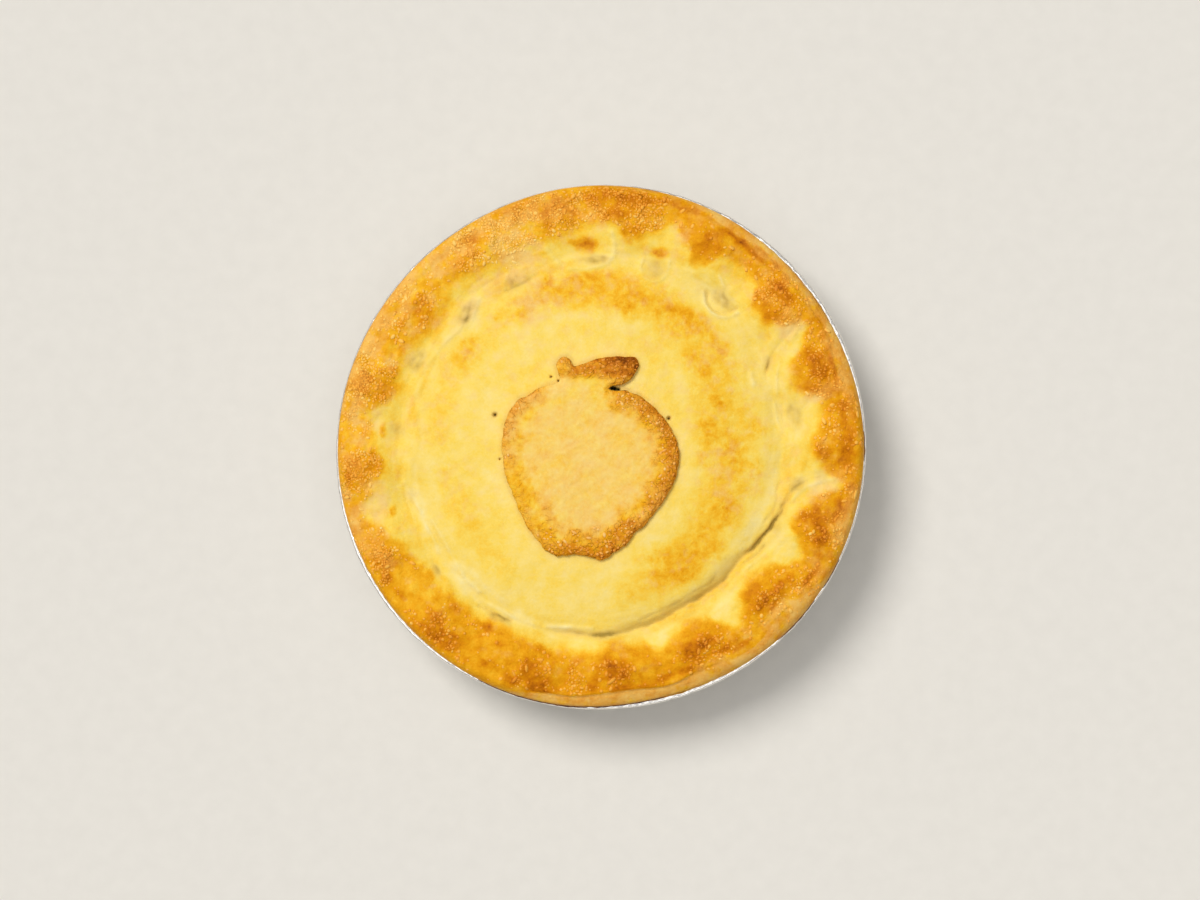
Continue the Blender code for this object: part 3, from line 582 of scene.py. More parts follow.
def dampness_and_shade(x, y):
    """Thin, greyish dough in the dents, and painted shade in them, the folds, creases and moat, round the
    pastry apple and in the vents.
    """
    # the dents: soaked dough, darkened also by painted shade
    dents = spotted(*wandered(x, y, 0.8 * MM, 11.0), SOAKED_SHADED_SPOTS, 0.5)
    # painted shade in the fold and the creases, darkest where they are deepest
    fold_shade = 0.95 * fold_depth(x, y) / FOLD_DEPTH + 0.55 * np.clip(crease_depth(x, y) / MM, 0, 1)
    # painted shade along the moat, uneven
    shade = 0.10 * bell((np.hypot(x, y) - 64 * MM) / (4 * MM)) * (1 + 1.5 * uneven(x, y, 5 * MM, 16.0))
    # painted shadow round the pastry apple's edge
    apple_shadow = bell(edge_distance(x, y, apple_outline(4)) / (1.5 * MM)) * (1 + 0.8 * uneven(x, y, 4 * MM, 16.5))
    shade += 0.42 * np.clip(apple_shadow, 0, 1)
    # painted dark in the vent holes
    vent_dark = np.clip(sum(vent**0.5 for vent in pricked(x, y)), 0, 1)
    return np.clip(dents + fold_shade + shade, 0.0, 0.8) * (1 - vent_dark) + vent_dark


# ---------------------------------------------------------------- meshes


def put(name, data):
    """A new object in the scene."""
    obj = bpy.data.objects.new(name, data)
    bpy.context.scene.collection.objects.link(obj)
    return obj


def new_piece(name, vertices, faces, attributes=None):
    """A smooth-shaded mesh object. attributes holds one number for each vertex, by name."""
    mesh = bpy.data.meshes.new(name)
    mesh.from_pydata(vertices, [], faces)
    mesh.shade_smooth()
    for label, values in (attributes or {}).items():
        layer = mesh.attributes.new(label, "FLOAT", "POINT")
        layer.data.foreach_set("value", np.asarray(values, np.float32).ravel())
    return put(name, mesh)


def round_faces(rows, columns):
    """Faces of a closed round surface: a first vertex, rows of vertices from there on, and a last vertex."""
    last = rows * columns + 1
    faces = []
    for c in range(columns):
        d = (c + 1) % columns
        faces.append((0, 1 + c, 1 + d))
        faces.append((last, last - columns + d, last - columns + c))
    for r in range(rows - 1):
        start = 1 + r * columns
        for c in range(columns):
            d = (c + 1) % columns
            faces.append((start + c, start + columns + c, start + columns + d, start + d))
    return faces


def tin_wall(height):
    """Radius of the tin's inner wall."""
    low, high = CORNER_HEIGHT, TIN_HEIGHT - BEAD_RADIUS
    foot, rim = FOOT_RADIUS + CORNER_WIDTH - FOIL, TIN_RADIUS - 2 * BEAD_RADIUS
    return foot + (rim - foot) * (height - low) / (high - low)


def crust_rows():
    """Reach of each ring of the top's mesh."""
    rows = [np.arange(start, end - 0.3 * step, step) for start, end, step in TOP_SPANS]
    return np.append(np.concatenate(rows), TOP_SPANS[-1][1]) * MM


def side_point(angle, shoulder, shoulder_z, along):
    """Where the side is on its way from the shoulder, 0, to the skirt, 1. A step marks the lid's cut edge."""
    turned = 0.5 * math.pi * along
    radius = shoulder + (skirt_radius(angle) - shoulder) * np.sin(turned)
    height = SKIRT_HEIGHT + (shoulder_z - SKIRT_HEIGHT) * np.cos(turned)
    x, y = flat(radius, angle)
    rough = sum(high * uneven(x, y, spacing * MM, layer) for spacing, high, layer in SIDE_GRAIN) * MM
    step = LAP_STEP * lapped(angle)[1] * smooth(along, 0.0, 0.10) * (1 - smooth(along, 0.35, 0.9))
    return radius + rough * np.sin(math.pi * np.minimum(1.0, 1.2 * along)), height - step


def crust_skin(reach, angle):
    """Points of the crust out to its edge. Past the shoulder, reach goes on over the side."""
    x, y, z = crust_top(np.minimum(reach, SHOULDER_RADIUS), angle)
    past = np.clip((reach - SHOULDER_RADIUS) / (SKIRT_RADIUS - SHOULDER_RADIUS), 0.0, 1.0)
    radius, height = side_point(angle, np.hypot(x, y), z, np.arcsin(past) / (0.5 * math.pi))
    return [np.where(past > 0, side, top) for side, top in zip((*flat(radius, angle), height), (x, y, z))]


def crust_inside(angle):
    """What is hidden in the tin follows the tin's inside."""
    neck = np.minimum(tin_wall(TIN_HEIGHT - BEAD_RADIUS) - GAP + bent(angle), skirt_radius(angle) - GAP)
    rings = [(neck, TIN_HEIGHT + GAP), (neck, TIN_HEIGHT - BEAD_RADIUS - GAP)]
    for height in (24 * MM, 17.5 * MM, 10 * MM, CORNER_HEIGHT + GAP):  # down the wall
        rings.append((tin_wall(height) - GAP + bent(angle) * height / TIN_HEIGHT, height))
    base = PANEL_LIFT + FOIL + GAP
    rings += [(np.full_like(angle, FOOT_RADIUS - FOIL), base), (np.full_like(angle, 0.5 * FOOT_RADIUS), base)]
    return [(radius, np.full_like(angle, height)) for radius, height in rings]


def crust():
    """The crust's whole skin: the lid, the rim, its side, and what is hidden in the tin."""
    angle = np.arange(COLUMNS) * 360.0 / COLUMNS
    x, y, z = crust_top(*np.meshgrid(crust_rows(), angle, indexing="ij"))
    bake, peach, damp_shade = crust_browning(x, y), peachiness(x, y), dampness_and_shade(x, y)
    bubbly = blistering(x, y, bake, peach)
    steps = np.arange(1, SIDE_ROWS + 1) / SIDE_ROWS
    side = [side_point(angle, np.hypot(x[-1], y[-1]), z[-1], step) for step in steps]
    radii, heights = (np.array(values) for values in zip(*side, *crust_inside(angle)))
    side_x, side_y = flat(radii, angle)

    # below the lid's cut edge, the side browns less than the rim and is dull all over
    along = np.clip(np.arange(1, len(radii) + 1) / SIDE_ROWS, 0, 1)[:, None]
    plain = 0.50 + 0.14 * uneven(side_x, side_y, 7 * MM, 12.0) + 0.10 * uneven(side_x, side_y, 1.6 * MM, 12.5)
    shown = lapped(angle)[0]
    fade = smooth(along, 0.55 - 0.55 * shown, 1.05 - 0.98 * shown)
    side_bake = crust_browning(side_x, side_y) * (1 - fade) + (plain - 0.04 * along) * fade
    side_peach = peachiness(side_x, side_y) * (1 - fade) + fade
    side_bubbly = blistering(side_x, side_y, side_bake, side_peach) * (1 - fade)

    def joined(first, top, sides, last):
        """A value for each vertex of the mesh, from the middle of the lid to the middle of the base."""
        return np.concatenate([[first], np.ravel(top), np.ravel(sides), [last]])

    middle = float(crust_form(np.zeros(1), np.zeros(1))[0])
    corners = (
        joined(LID_CENTRE[0], x, side_x, 0.0),
        joined(LID_CENTRE[1], y, side_y, 0.0),
        joined(middle, z, heights, heights[-1, 0]),
    )
    attributes = {
        "browning": joined(0.2, bake + 0.02 * bubbly, side_bake, 0.4),
        "peach": joined(0.0, peach, side_peach, 1.0),
        "damp_shade": joined(0.0, damp_shade, np.zeros(side_x.size), 0.0),
        "blistered": joined(0.0, bubbly, side_bubbly, 0.0),
    }
    return new_piece("crust", list(zip(*corners)), round_faces(len(x) + len(side_x), COLUMNS), attributes)


def dome_template(sides=7):
    """A small closed dome of radius 1: a ring below the surface, two rings above it and a top."""
    points, faces = [], []
    for radius, height in BLISTER_RINGS:
        for k in range(sides):
            t = 2 * math.pi * k / sides
            points.append((radius * math.cos(t), radius * math.sin(t), height))
    points.append((0.0, 0.0, BLISTER_TOP))
    for k in range(sides):
        n = (k + 1) % sides
        for low in (0, sides):
            faces.append((low + k, low + n, low + sides + n, low + sides + k))
        faces.append((2 * sides + k, 2 * sides + n, 3 * sides))
    faces.append(tuple(range(sides - 1, -1, -1)))
    return np.array(points), faces


def blisters(name, centres, normals, sizes, rng, bake, dried):
    """Bubbles of the glaze, joined into one mesh. Some are round and some are stretched like worms.

    dried is how much paler the top of a bubble is made: partly its thin, dry skin and partly a painted
    highlight.
    """
    template, template_faces = dome_template()
    vertices, faces = [], []
    for centre, normal, size in zip(centres, normals, sizes):
        up = Vector(normal).normalized()
        turn = rng.uniform(0, 2 * math.pi)
        side = Vector((math.cos(turn), math.sin(turn), 0))
        side = (side - side.dot(up) * up).normalized()
        across = up.cross(side)
        stretch = 1 + max(0.0, rng.normal(*BLISTER_STRETCH))
        start = len(vertices)
        for px, py, pz in template:
            offset = side * (px * size * stretch) + across * (py * size) + up * (pz * size * BLISTER_FLATNESS)
            vertices.append(Vector(centre) + offset)
        faces += [tuple(start + k for k in face) for face in template_faces]
    # paler tops: partly dry skin, partly a painted highlight
    dry_top_and_highlight = dried * smooth(template[:, 2], 0.0, BLISTER_TOP)
    browning = np.ravel(bake[:, None] + 0.04 - np.abs(rng.normal(0, 0.08, (len(bake), 1))) - dry_top_and_highlight)
    return new_piece(name, vertices, faces, {"browning": browning})


def blister_sizes(rng, count, smallest, spread, rarity):
    """Radii from the smallest up, in mm. The higher the rarity, the fewer are large."""
    return (smallest + spread * rng.uniform(0, 1, count) ** rarity) * MM


def thinned(x, y, spacing):
    """Leaves out the points that are closer than the spacing to an earlier one."""
    kept, taken = [], {}
    for k, (px, py, gap) in enumerate(zip(x, y, spacing)):
        across, along = int(px / THINNING_CELL), int(py / THINNING_CELL)
        near = [q for i in (-1, 0, 1) for j in (-1, 0, 1) for q in taken.get((across + i, along + j), ())]
        if all((px - x[q]) ** 2 + (py - y[q]) ** 2 > gap**2 for q in near):
            taken.setdefault((across, along), []).append(k)
            kept.append(k)
    return np.array(kept)


def crust_blisters():
    """Bubbles crowd the browned ridges, and most of all the back of the rim."""
    rng = np.random.default_rng(7)
    angle = rng.uniform(0, 360, CRUST_TRIES)
    reach = np.sqrt(rng.uniform(BLISTER_BAND[0] ** 2, BLISTER_BAND[1] ** 2, CRUST_TRIES))
    x, y, _ = crust_skin(reach, angle)
    bake, peach = crust_browning(x, y), peachiness(x, y)
    # none below the lid's cut edge
    wanted = blistering(x, y, bake, peach) * (1 - lapped(angle)[0] * smooth(reach, 84.5 * MM, 86 * MM))
    kept = rng.uniform(0, 1, CRUST_TRIES) < wanted
    reach, angle, x, y, bake = reach[kept], angle[kept], x[kept], y[kept], bake[kept]
    size = blister_sizes(rng, len(x), smallest=0.30, spread=0.52, rarity=1.6)
    chosen = thinned(x, y, 1.7 * size)[:CRUST_BLISTERS]
    reach, angle, size, bake = reach[chosen], angle[chosen], size[chosen], bake[chosen]
    here = np.column_stack(crust_skin(reach, angle))
    outwards = np.column_stack(crust_skin(reach + 0.3 * MM, angle)) - here
    sideways = np.column_stack(crust_skin(reach, angle + 0.4)) - here
    return blisters("crust_blisters", here, np.cross(outwards, sideways), size, rng, bake, dried=0.13)


# ---------------------------------------------------------------- pastry apple


def apple_outline(steps):
    """The outline's points joined by a curve, ragged where the knife has dragged, most of all at the foot."""
    points = [Vector(p) * MM for p in APPLE_OUTLINE]
    curve = []
    for k, here in enumerate(points):
        before, after, later = points[k - 1], points[(k + 1) % len(points)], points[(k + 2) % len(points)]
        for step in range(steps):
            t = step / steps
            bend = 2 * before - 5 * here + 4 * after - later
            twist = 3 * here - before - 3 * after + later
            curve.append(here + 0.5 * t * ((after - before) + t * (bend + t * twist)))
    x, y = np.array(curve, float).T
    drag = RAGGED * (1 + smooth(-y, 26 * MM, 33 * MM) - 0.4 * smooth(y, 18 * MM, 24 * MM))
    across = drag * (uneven(x, y, 3.2 * MM, 28.0) + 0.6 * uneven(x, y, 1.5 * MM, 28.5))
    along = drag * (uneven(x, y, 3.2 * MM, 29.0) + 0.6 * uneven(x, y, 1.5 * MM, 29.5))
    return [Vector(p) for p in zip(x + across, y + along)]


def is_inside(px, py, loop):
    """Whether the point is inside the loop."""
    inside = False
    for a, b in zip(loop, loop[1:] + loop[:1]):
        if (a.y > py) != (b.y > py) and px < (b.x - a.x) * (py - a.y) / (b.y - a.y) + a.x:
            inside = not inside
    return inside


def apple_grain(x, y):
    """Coarse grain of the toasted dough, from -1 to 1."""
    return 0.7 * uneven(x, y, 2.4 * MM, 20.0) + uneven(x, y, 1.25 * MM, 21.0)


def apple_top(x, y, inwards):
    """Height of the pastry apple's top. inwards is the distance from its edge."""
    rounded = 0.55 + 0.45 * smooth(inwards, 0.0, 1.5 * MM)
    edge = 1 - smooth(inwards, 1.0 * MM, 6.0 * MM)
    grain = (0.13 + 0.12 * edge) * MM * apple_grain(x, y) + 0.18 * MM * edge * uneven(x, y, 3.4 * MM, 22.0)
    return lid_height(x, y) + GAP + APPLE_THICKNESS * rounded + grain


def apple_turn(x, y):
    """Direction from the middle of the fruit."""
    return polar(x - FRUIT_MIDDLE[0], y - FRUIT_MIDDLE[1])[0]


def apple_browning(x, y, inwards):
    """Toasted along the edge, most of all at the foot, at the right and on the leaf. The hollows of the grain
    are darker.
    """
    turn = apple_turn(x, y)
    wide = along_path(APPLE_BAND, turn) * MM
    strength = along_path(APPLE_TOAST, turn)
    wander = wide * (0.45 * uneven(x, y, 5 * MM, 23.0) + 0.35 * uneven(x, y, 2 * MM, 23.5))
    band = 1 - smooth(inwards + wander, 0.0, 1.5 * wide)
    wash = 1 - smooth(inwards + 1.6 * wander, 0.7 * wide, 2.3 * wide)
    bake = APPLE_BAKE + (strength - APPLE_BAKE) * (0.48 * wash + 0.54 * band)
    bake += 0.07 * uneven(x, y, 6 * MM, 24.0) - (0.05 + 0.06 * wash) * apple_grain(x, y)
    # the leaf is browner to the right and at its upper edge, and paler on the stalk
    toast = 0.70 + 0.14 * smooth(x, -3 * MM, 9 * MM)
    toast += 0.14 * smooth(y, 26.5 * MM, 30 * MM) * smooth(x, -4 * MM, 4 * MM)
    toast -= 0.18 * smooth(-x, 9 * MM, 12 * MM) + 0.14 * apple_grain(x, y)
    toast += 0.05 * bell((x + 9 * MM) / (1.6 * MM))
    leaf = smooth(y + 0.8 * MM * uneven(x, y, 3 * MM, 27.0), 22.3 * MM, 25 * MM)
    return np.clip(bake + leaf * (toast - bake), 0.05, 1)


def apple_peach(x, y, inwards):
    """The middle, and the edge at the back left, have dried to a dull tan."""
    middle = 0.62 * smooth(inwards, 4 * MM, 9 * MM)
    back = along_path(APPLE_DULL, apple_turn(x, y)) * (1 - smooth(inwards, 2 * MM, 7 * MM))
    leaf = smooth(y, 23 * MM, 26 * MM)
    return np.maximum(middle, back) * (1 - leaf) + 0.50 * leaf


def pastry_apple():
    """Cut by hand from rolled dough. It lies on the lid and follows its curve."""
    loop = apple_outline(10)
    rim = len(loop)
    spacing = 0.55 * MM
    xs, ys = np.array(loop, float).T
    grid_x, grid_y = np.meshgrid(np.arange(min(xs), max(xs), spacing), np.arange(min(ys), max(ys), spacing))
    rng = np.random.default_rng(3)
    grid_x = grid_x.ravel() + rng.uniform(-0.2, 0.2, grid_x.size) * spacing
    grid_y = grid_y.ravel() + rng.uniform(-0.2, 0.2, grid_y.size) * spacing
    clear = edge_distance(grid_x, grid_y, loop) > 0.5 * spacing
    inner = [Vector((a, b)) for a, b in zip(grid_x[clear], grid_y[clear])]
    edges = [(k, (k + 1) % rim) for k in range(rim)]
    points, _, top_faces, *_ = delaunay_2d_cdt(loop + inner, edges, [], 1, 1e-7)
    x, y = np.array(points, float).T
    inwards = edge_distance(x, y, loop)
    top = apple_top(x, y, inwards)
    bake, peach = apple_browning(x, y, inwards), apple_peach(x, y, inwards)

    # the cut side goes down in two steps, and a flat face closes it underneath
    vertices, faces = list(zip(x, y, top)), [tuple(face) for face in top_faces]
    low = lid_height(x[:rim], y[:rim]) + 0.1 * MM
    middle_x, middle_y = x.mean(), y.mean()
    for share, height in ((1.006, 0.5 * (low + top[:rim])), (0.997, low)):
        out_x, out_y = middle_x + (x[:rim] - middle_x) * share, middle_y + (y[:rim] - middle_y) * share
        vertices += list(zip(out_x, out_y, height))
    count = len(points)
    for k in range(rim):
        n = (k + 1) % rim
        faces.append((k, count + k, count + n, n))
        faces.append((count + k, count + rim + k, count + rim + n, count + n))
    faces.append(tuple(reversed(range(count + rim, count + 2 * rim))))
    # the cut edge stays pale
    browning = np.concatenate([bake, 0.4 * bake[:rim], 0.3 * bake[:rim]])
    tan = np.concatenate([peach, peach[:rim], peach[:rim]])
    bubbly = smooth(browning, 0.35, 0.60)
    attributes = {"browning": browning, "peach": tan, "damp_shade": 0 * browning, "blistered": bubbly}
    return new_piece("toasted_apple", vertices, faces, attributes)


def apple_blisters():
    """Finer bubbles along the pastry apple's edge and all over its leaf."""
    rng = np.random.default_rng(11)
    loop = apple_outline(4)
    x = rng.uniform(-34, 27, APPLE_TRIES) * MM
    y = rng.uniform(-38.5, 31, APPLE_TRIES) * MM
    inwards = edge_distance(x, y, loop)
    inside = np.array([is_inside(px, py, loop) for px, py in zip(x, y)])
    bake = apple_browning(x, y, inwards)
    wanted = 0.35 * smooth(bake, 0.45, 0.75)
    kept = inside & (inwards > 0.5 * MM) & (rng.uniform(0, 1, APPLE_TRIES) < wanted)
    x, y, inwards, bake = x[kept], y[kept], inwards[kept], bake[kept]
    size = blister_sizes(rng, len(x), smallest=0.28, spread=0.40, rarity=1.4)
    chosen = thinned(x, y, 2.2 * size)
    x, y, inwards, size, bake = x[chosen], y[chosen], inwards[chosen], size[chosen], bake[chosen]
    here = np.column_stack([x, y, apple_top(x, y, inwards)])
    upwards = np.tile((0.0, 0.0, 1.0), (len(x), 1))
    return blisters("apple_blisters", here, upwards, size, rng, bake, dried=0.12)


# ---------------------------------------------------------------- tin and juice


def pleated_tin():
    """Foil pressed into a dish: its wall has gathered into upright pleats, and its rolled rim is crinkled."""
    # rings from the inside to the outside: radius, height, how pleated and how crinkled it is
    low, high = CORNER_HEIGHT, TIN_HEIGHT - BEAD_RADIUS
    corner = [0.5 * math.pi * k / 4 for k in range(5)]
    climb = [low + (high - low) * k / 9 for k in range(1, 9)]
    inside, outside, ring = PANEL_LIFT + FOIL, PANEL_LIFT, PANEL_RADIUS + PANEL_STEP
    rings = [(0.5 * PANEL_RADIUS, inside, 0, 0), (PANEL_RADIUS, inside, 0, 0), (ring, FOIL, 0, 0)]
    for t in corner:
        out, up = CORNER_WIDTH * math.sin(t), (low - FOIL) * (1 - math.cos(t))
        rings.append((FOOT_RADIUS - FOIL + out, FOIL + up, 0, 0))
    rings += [(tin_wall(height), height, 1, 0) for height in climb]
    for k in range(15):
        t = math.pi - BEAD_TURN * k / 14
        radius = TIN_RADIUS - BEAD_RADIUS + BEAD_RADIUS * math.cos(t)
        rings.append((radius, high + BEAD_RADIUS * math.sin(t), 0, 1))
    under = high - 1.5 * BEAD_RADIUS
    rings.append((tin_wall(under) + FOIL, under, 0.5, 0.3))
    rings += [(tin_wall(height) + FOIL, height, 1, 0) for height in reversed(climb) if height < under - MM]
    for t in reversed(corner):
        rings.append((FOOT_RADIUS + CORNER_WIDTH * math.sin(t), low * (1 - math.cos(t)), 0, 0))
    rings += [(ring, 0.0, 0, 0), (PANEL_RADIUS, outside, 0, 0), (0.5 * PANEL_RADIUS, outside, 0, 0)]

    angle = np.arange(TIN_COLUMNS) * 360.0 / TIN_COLUMNS
    around = flat(TIN_RADIUS, angle)
    drift = 3.0 * uneven(*around, 9 * MM, 40.0)
    depth = 0.65 + 0.6 * uneven(*around, 6 * MM, 41.0)
    pleat = PLEAT_DEPTH * depth * np.sin(PLEATS * np.radians(angle) + drift)
    vertices = [(0.0, 0.0, inside)]
    for radius, height, pleated, crinkled in rings:
        pleated *= smooth(height, low, low + 6 * MM)
        out = radius + bent(angle) * height / TIN_HEIGHT + pleat * pleated
        x, y = flat(out, angle)
        lift = CRINKLE * crinkled * (uneven(x, y, 4 * MM, 42.0) + 0.6 * uneven(x, y, 1.4 * MM, 43.0))
        out = out + 0.6 * CRINKLE * crinkled * uneven(x, y, 3 * MM, 44.0 + height / MM)
        vertices += zip(*flat(out, angle), height + lift)
    vertices.append((0.0, 0.0, outside))
    return new_piece("pleated_tin", vertices, round_faces(len(rings), TIN_COLUMNS))


def baked_juice():
    """Thin beads of caramelised juice along the edge of the crust."""
    vertices, faces, sides = [], [], JUICE_SIDES
    for start, end, half_width in JUICE_LINES:
        count = int((end - start) / JUICE_STEP)
        first = len(vertices)
        for k in range(count + 1):
            angle = np.array([start + (end - start) * k / count])
            turn = math.radians(angle[0])
            swell = max(0.0, math.sin(math.pi * k / count)) ** 0.4
            wobble = uneven(*flat(TIN_RADIUS, angle), 2.5 * MM, 50.0)[0]
            wide = half_width * MM * (0.12 + swell * (0.8 + 0.6 * wobble))
            middle = float(skirt_radius(angle)[0]) + JUICE_OUT
            for side in range(sides):
                t = 2 * math.pi * side / sides
                radius = middle + wide * math.cos(t)
                height = TIN_HEIGHT + JUICE_UP + 0.7 * wide * math.sin(t)
                vertices.append((radius * math.cos(turn), radius * math.sin(turn), height))
        for k in range(count):
            here, there = first + k * sides, first + (k + 1) * sides
            for side in range(sides):
                n = (side + 1) % sides
                faces.append((here + side, there + side, there + n, here + n))
        faces.append(tuple(range(first, first + sides)))
        faces.append(tuple(reversed(range(first + count * sides, first + (count + 1) * sides))))
    return new_piece("baked_juice", vertices, faces)


# ---------------------------------------------------------------- materials


def colour(code):
    """A linear colour from an sRGB hex code."""
    parts = [int(code[k : k + 2], 16) / 255 for k in (1, 3, 5)]
    return (*[p / 12.92 if p <= 0.04045 else ((p + 0.055) / 1.055) ** 2.4 for p in parts], 1.0)


def feed(tree, node, links):
    """Gives each named input of a node a value, or the output of another node."""
    for name, value in links.items():
        if isinstance(value, bpy.types.NodeSocket):
            tree.links.new(value, node.inputs[name])
        else:
            node.inputs[name].default_value = value


def add(tree, kind, links=None, output=0, stops=(), **settings):
    """Adds a shader node with its settings and what goes into it, and gives one of its outputs."""
    node = tree.nodes.new("ShaderNode" + kind)
    for name, value in settings.items():
        setattr(node, name, value)
    for k, (place, code) in enumerate(stops):
        element = node.color_ramp.elements[k] if k < 2 else node.color_ramp.elements.new(place)
        element.position = place
        element.color = colour(code)
    feed(tree, node, links or {})
    return node.outputs[output]


def new_material(name):
    made = bpy.data.materials.new(name)
    made.use_nodes = True
    tree = made.node_tree
    return made, tree, tree.nodes["Principled BSDF"]


GLAZED = (  # pastry brushed with egg, from raw to burnt
    (0.0, "#f9e7a0"), (0.12, "#fbe084"), (0.24, "#fad75e"), (0.36, "#f9c63a"), (0.48, "#f4b222"),
    (0.60, "#eaa010"), (0.72, "#dc8a08"), (0.84, "#c87406"), (0.94, "#a65a06"), (1.0, "#7e3e08"),
)  # fmt: skip
DULL = (  # the same pastry where the glaze has dried up
    (0.0, "#f8e3a2"), (0.22, "#f8d27e"), (0.42, "#f4bd5c"), (0.58, "#eca540"), (0.74, "#d8872a"),
    (0.88, "#b8681a"), (1.0, "#844612"),
)  # fmt: skip
BUBBLED = (  # a bubble's thin, dry skin
    (0.15, "#ffd980"), (0.35, "#fbc45c"), (0.5, "#f5ae40"), (0.65, "#ea982c"), (0.8, "#d68022"),
    (1.0, "#a25c18"),
)  # fmt: skip
DULL_BUBBLED = (  # and where its glaze is thin, as on the pastry apple
    (0.15, "#fbd88c"), (0.35, "#f8c874"), (0.5, "#f2b056"), (0.65, "#e6983a"), (0.8, "#d07e2a"),
    (1.0, "#985420"),
)  # fmt: skip
SOAKED_AND_SHADE = (  # thin dough with juice under it, and painted shade, from dry to the painted dark of a vent
    (0.0, "#e6cc80"), (0.40, "#d2b066"), (0.7, "#b2904a"), (0.85, "#6b5620"), (1.0, "#1e1a08"),
)  # fmt: skip
PASTRY_IOR = 1.45  # of fat and egg glaze
PATCH_TINT = 0.34  # how much browner or paler the patches of the dough are


